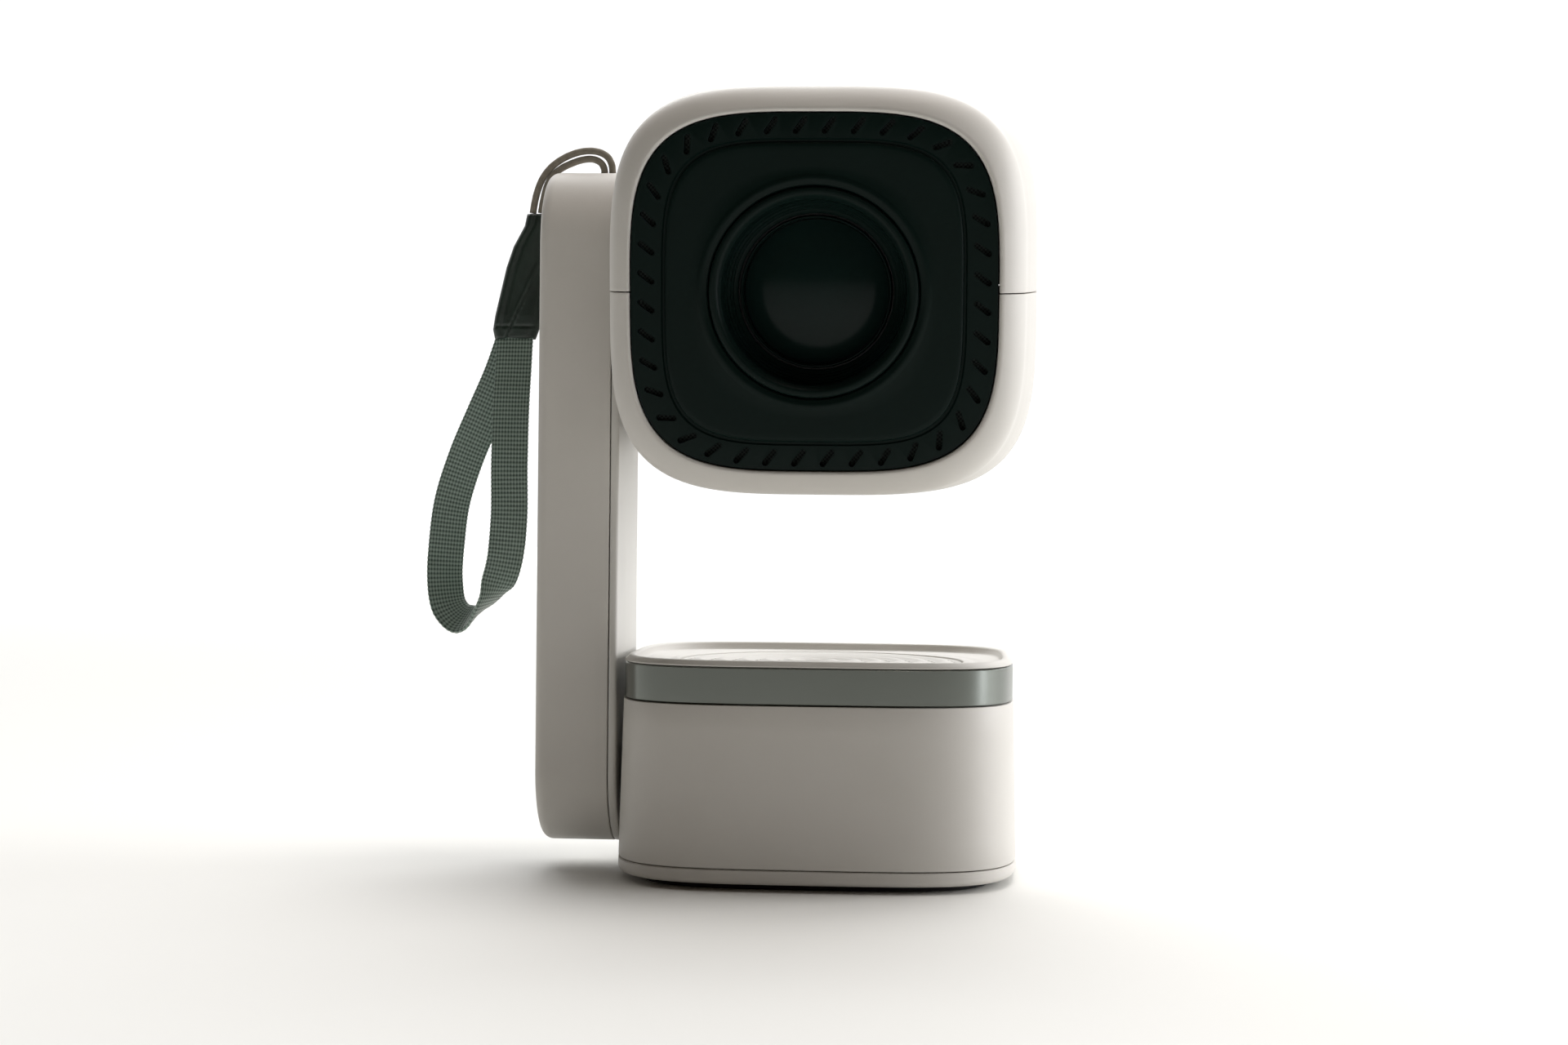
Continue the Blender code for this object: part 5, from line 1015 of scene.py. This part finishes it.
openings = bmesh.new()
for number in range(LOUVRE_COUNT):
    z = (number - (LOUVRE_COUNT - 1) / 2) * LOUVRE_PITCH
    rounded_bar(openings, (0, REAR_FACE, z), 2 * math.sqrt(FAN_RADIUS ** 2 - z * z), LOUVRE_WIDTH, 1.3)
for _, x, width, height in SOCKETS:
    rounded_bar(openings, (x, REAR_FACE, SOCKET_Z), width + 2 * GAP, height + 2 * GAP, 0.8)
round_holes = bmesh.new()
for x, z, radius in ((BUTTON_X, SOCKET_Z, BUTTON_RADIUS + GAP), *((x, z, 1.5) for x, z in REAR_SCREWS)):
    verts = bmesh.ops.create_cone(round_holes, cap_ends=True, segments=40, radius1=radius, radius2=radius,
                                  depth=10)["verts"]
    bmesh.ops.transform(round_holes, verts=verts, matrix=(
        Matrix.Translation((x, REAR_FACE, z)) @ Matrix.Rotation(math.pi / 2, 4, "X")))
rear_bm = carved(rear_bm, [openings, round_holes])
face_edges = [edge for edge in rear_bm.edges if len(edge.link_faces) == 2
              and all(abs(vert.co.y - REAR_FACE) < 0.001 for vert in edge.verts)
              and edge.calc_face_angle(0) > math.radians(60)]
bmesh.ops.bevel(rear_bm, geom=face_edges, offset=0.2, segments=2, profile=0.5, affect="EDGES",
                clamp_overlap=True, material=-1)
settle("rear_plate", rear_bm, satin, "head", ("rear_panel",), turn=HEAD_PLACE, smooth=40)


# ---------------------------------------------------------------- screws
# Pan-head steel screws, zinc plated, with a six-lobed recess. Two hold the rear plate, and four more
# under the foot pad hold the base plate.
steel, tree, shader = new_finish("zinc_plated_steel", "#b3b2ae", 0.3, 1.0)
place = add_node(tree, "ShaderNodeTexCoord")
rub = add_node(tree, "ShaderNodeTexNoise", {"Vector": place.outputs["Object"], "Scale": 1500.0, "Detail": 3.0})
gloss = add_node(tree, "ShaderNodeMapRange", {"Value": rub.outputs["Fac"], "To Min": 0.22, "To Max": 0.42})
tree.links.new(gloss.outputs["Result"], shader.inputs["Roughness"])
tone = add_node(tree, "ShaderNodeMix", {"Factor": rub.outputs["Fac"], 6: linear("#98978f"),
                                        7: linear("#c4c3c0")}, data_type="RGBA")
tree.links.new(tone.outputs[2], shader.inputs["Base Color"])
for number, (x, z) in enumerate(REAR_SCREWS, 1):
    screw_bm = bmesh.new()
    turned(screw_bm, [(0, 0), (1.9, 0), (2.15, -0.12), (2.3, -0.4), (2.3, -1.0), (1.2, -1.0), (1.2, -6.0), (0, -6.0)], 48)
    recess = bmesh.new()
    verts = bmesh.ops.create_cone(recess, cap_ends=True, segments=36, radius1=1.05, radius2=1.05, depth=1.4)["verts"]
    for vert in verts:
        lobe = 1 + 0.13 * math.cos(6 * math.atan2(vert.co.y, vert.co.x))
        vert.co.x, vert.co.y = vert.co.x * lobe, vert.co.y * lobe
    screw_bm = carved(screw_bm, [recess])
    settle(f"rear_screw_{number}", screw_bm, steel, "head", (f"head_screw_{number}",), turn=(
        HEAD_PLACE @ Matrix.Translation((x, REAR_FACE + 1.3, z)) @ Matrix.Rotation(-math.pi / 2, 4, "X")))


# ---------------------------------------------------------------- power button
# A grey ABS push button with a shallow finger dish and a ring mark, which clicks on its switch.
button_bm = bmesh.new()
stem = REAR_FACE - REAR_WALL - 1.0
crown = REAR_FACE + 0.9
dish = [(0, crown - 0.45)] + [(BUTTON_RADIUS * 0.8 * i / 8, crown - 0.45 * (1 - (i / 8) ** 2)) for i in range(1, 9)]
cap = dish + [(BUTTON_RADIUS - 0.5, crown), (BUTTON_RADIUS - 0.15, crown - 0.15), (BUTTON_RADIUS, crown - 0.5),
              (BUTTON_RADIUS, stem + 0.6), (BUTTON_RADIUS + 1.2, stem + 0.6), (BUTTON_RADIUS + 1.2, stem), (0, stem)]
turned(button_bm, cap, 72)
grey, tree, shader = new_finish("moulded_grey_abs", "#8b8a88", 0.45)
place = add_node(tree, "ShaderNodeTexCoord")
grain = add_node(tree, "ShaderNodeTexNoise", {"Vector": place.outputs["Object"], "Scale": 2600.0, "Detail": 2.0})
tone = add_node(tree, "ShaderNodeMix", {"Factor": grain.outputs["Fac"], 6: linear("#7f7e7c"),
                                        7: linear("#949390")}, data_type="RGBA")
tree.links.new(tone.outputs[2], shader.inputs["Base Color"])
relief = add_node(tree, "ShaderNodeBump", {"Height": grain.outputs["Fac"], "Strength": 0.2, "Distance": 0.00005})
tree.links.new(relief.outputs["Normal"], shader.inputs["Normal"])
settle("push_button", button_bm, grey, "button", ("power_button",), smooth=35, turn=(
    HEAD_PLACE @ Matrix.Translation((BUTTON_X, 0, SOCKET_Z)) @ Matrix.Rotation(-math.pi / 2, 4, "X")))


# ---------------------------------------------------------------- socket tongues
# Inside each metal socket shell a black plastic tongue carries the contacts.
black, tree, shader = new_finish("moulded_black_abs", "#17191a", 0.5)
place = add_node(tree, "ShaderNodeTexCoord")
grain = add_node(tree, "ShaderNodeTexNoise", {"Vector": place.outputs["Object"], "Scale": 2200.0, "Detail": 2.0})
tone = add_node(tree, "ShaderNodeMix", {"Factor": grain.outputs["Fac"], 6: linear("#111314"),
                                        7: linear("#212425")}, data_type="RGBA")
tree.links.new(tone.outputs[2], shader.inputs["Base Color"])
relief = add_node(tree, "ShaderNodeBump", {"Height": grain.outputs["Fac"], "Strength": 0.2, "Distance": 0.00005})
tree.links.new(relief.outputs["Normal"], shader.inputs["Normal"])
socket_back = REAR_FACE - 0.4
for name, x, width, lift in (("video_tongue", -18.0, 10.6, 0.2), ("data_tongue", 2.0, 10.4, 0.7)):
    tongue_bm = bmesh.new()
    rounded_bar(tongue_bm, (x, socket_back - 5.6, SOCKET_Z + lift), width, 1.3, 0.25, 8.2)
    settle(name, tongue_bm, black, "head", turn=HEAD_PLACE)


# ---------------------------------------------------------------- carried-over pieces
# The rest of the projector keeps its built shape: hinge hardware, loudspeaker, battery, boards,
# light engine, heat sink, fan and focus drive. Each gets the finish of what it is made from.
def dress(finish, *names):
    """Gives carried-over nodes their finish."""
    for name in names:
        data = frame["nodes"][name].data
        data.materials.clear()
        data.materials.append(finish)


# Pressure die-cast zinc: dull grey, with a soft flow mottle from the mould.
zinc, tree, shader = new_finish("die_cast_zinc", "#7f8082", 0.45, 1.0)
place = add_node(tree, "ShaderNodeTexCoord")
flow = add_node(tree, "ShaderNodeTexNoise", {"Vector": place.outputs["Object"], "Scale": 350.0, "Detail": 4.0})
tone = add_node(tree, "ShaderNodeMix", {"Factor": flow.outputs["Fac"], 6: linear("#6e6f71"),
                                        7: linear("#8f9092")}, data_type="RGBA")
tree.links.new(tone.outputs[2], shader.inputs["Base Color"])
gloss = add_node(tree, "ShaderNodeMapRange", {"Value": flow.outputs["Fac"], "To Min": 0.35, "To Max": 0.55})
tree.links.new(gloss.outputs["Result"], shader.inputs["Roughness"])

# Extruded aluminium: long fine die lines run up the fins.
extruded, tree, shader = new_finish("extruded_aluminium", "#b6b7b8", 0.38, 1.0)
place = add_node(tree, "ShaderNodeTexCoord")
stretch = add_node(tree, "ShaderNodeMapping", {"Vector": place.outputs["Object"], "Scale": (1.0, 1.0, 0.03)})
lines = add_node(tree, "ShaderNodeTexNoise", {"Vector": stretch.outputs["Vector"], "Scale": 2200.0, "Detail": 2.0})
tone = add_node(tree, "ShaderNodeMix", {"Factor": lines.outputs["Fac"], 6: linear("#9fa0a1"),
                                        7: linear("#c6c7c8")}, data_type="RGBA")
tree.links.new(tone.outputs[2], shader.inputs["Base Color"])
gloss = add_node(tree, "ShaderNodeMapRange", {"Value": lines.outputs["Fac"], "To Min": 0.3, "To Max": 0.46})
tree.links.new(gloss.outputs["Result"], shader.inputs["Roughness"])

# Nickel-plated pressed steel, bright, for the socket shells and the light source's mount.
nickel, tree, shader = new_finish("nickel_plate", "#a8a6a0", 0.25, 1.0)
place = add_node(tree, "ShaderNodeTexCoord")
drawn = add_node(tree, "ShaderNodeTexNoise", {"Vector": place.outputs["Object"], "Scale": 800.0, "Detail": 3.0})
gloss = add_node(tree, "ShaderNodeMapRange", {"Value": drawn.outputs["Fac"], "To Min": 0.18, "To Max": 0.34})
tree.links.new(gloss.outputs["Result"], shader.inputs["Roughness"])

# Glass-fibre circuit board: green lacquer over the weave, with fine copper tracks showing through.
board, tree, shader = new_finish("lacquered_circuit_board", "#0f4a2c", 0.35)
place = add_node(tree, "ShaderNodeTexCoord")
tracks = add_node(tree, "ShaderNodeTexBrick", {"Vector": place.outputs["Object"], "Scale": 260.0,
                                               "Color1": linear("#0e4428"), "Color2": linear("#135233"),
                                               "Mortar": linear("#2f7a4c"), "Mortar Size": 0.03})
tree.links.new(tracks.outputs["Color"], shader.inputs["Base Color"])

# Shrunk PVC sleeve round the cells: blue, glossy, with faint tension creases.
sleeve, tree, shader = new_finish("shrunk_pvc", "#23518a", 0.3)
place = add_node(tree, "ShaderNodeTexCoord")
crease = add_node(tree, "ShaderNodeTexNoise", {"Vector": place.outputs["Object"], "Scale": 220.0, "Detail": 3.0})
tone = add_node(tree, "ShaderNodeMix", {"Factor": crease.outputs["Fac"], 6: linear("#1d467a"),
                                        7: linear("#2b5c99")}, data_type="RGBA")
tree.links.new(tone.outputs[2], shader.inputs["Base Color"])
relief = add_node(tree, "ShaderNodeBump", {"Height": crease.outputs["Fac"], "Strength": 0.2, "Distance": 0.0002})
tree.links.new(relief.outputs["Normal"], shader.inputs["Normal"])

# Pressed paper pulp, dyed black: matt, with short fibres.
paper, tree, shader = new_finish("pressed_paper", "#1d1d1e", 0.9)
place = add_node(tree, "ShaderNodeTexCoord")
fibre = add_node(tree, "ShaderNodeTexNoise", {"Vector": place.outputs["Object"], "Scale": 1200.0, "Detail": 4.0})
tone = add_node(tree, "ShaderNodeMix", {"Factor": fibre.outputs["Fac"], 6: linear("#141415"),
                                        7: linear("#2b2b2c")}, data_type="RGBA")
tree.links.new(tone.outputs[2], shader.inputs["Base Color"])

dress(zinc, "arm_spine", "hinge_bracket")
dress(steel, "arm_shaft", "arm_nut", "tilt_shaft", "tilt_nut", "strap_bar", "speaker_magnet", "focus_motor",
      "base_screw_1", "base_screw_2", "base_screw_3", "base_screw_4")
dress(extruded, "heat_sink")
dress(nickel, "hdmi_socket", "usb_socket", "led_module", "focus_pinion")
dress(black, "speaker_frame", "battery_tray", "dc_socket", "hinge_bush", "friction_washer", "lens_housing",
      "focus_ring", "engine_case", "fan_frame", "fan_rotor", "audio_socket", "button_switch")
dress(rubber, "arm_harness")
dress(board, "power_board", "mainboard")
dress(sleeve, "battery_pack")
dress(paper, "speaker_cone")
dress(glass, "rear_lens", "lcd_panel", "fresnel_lens")
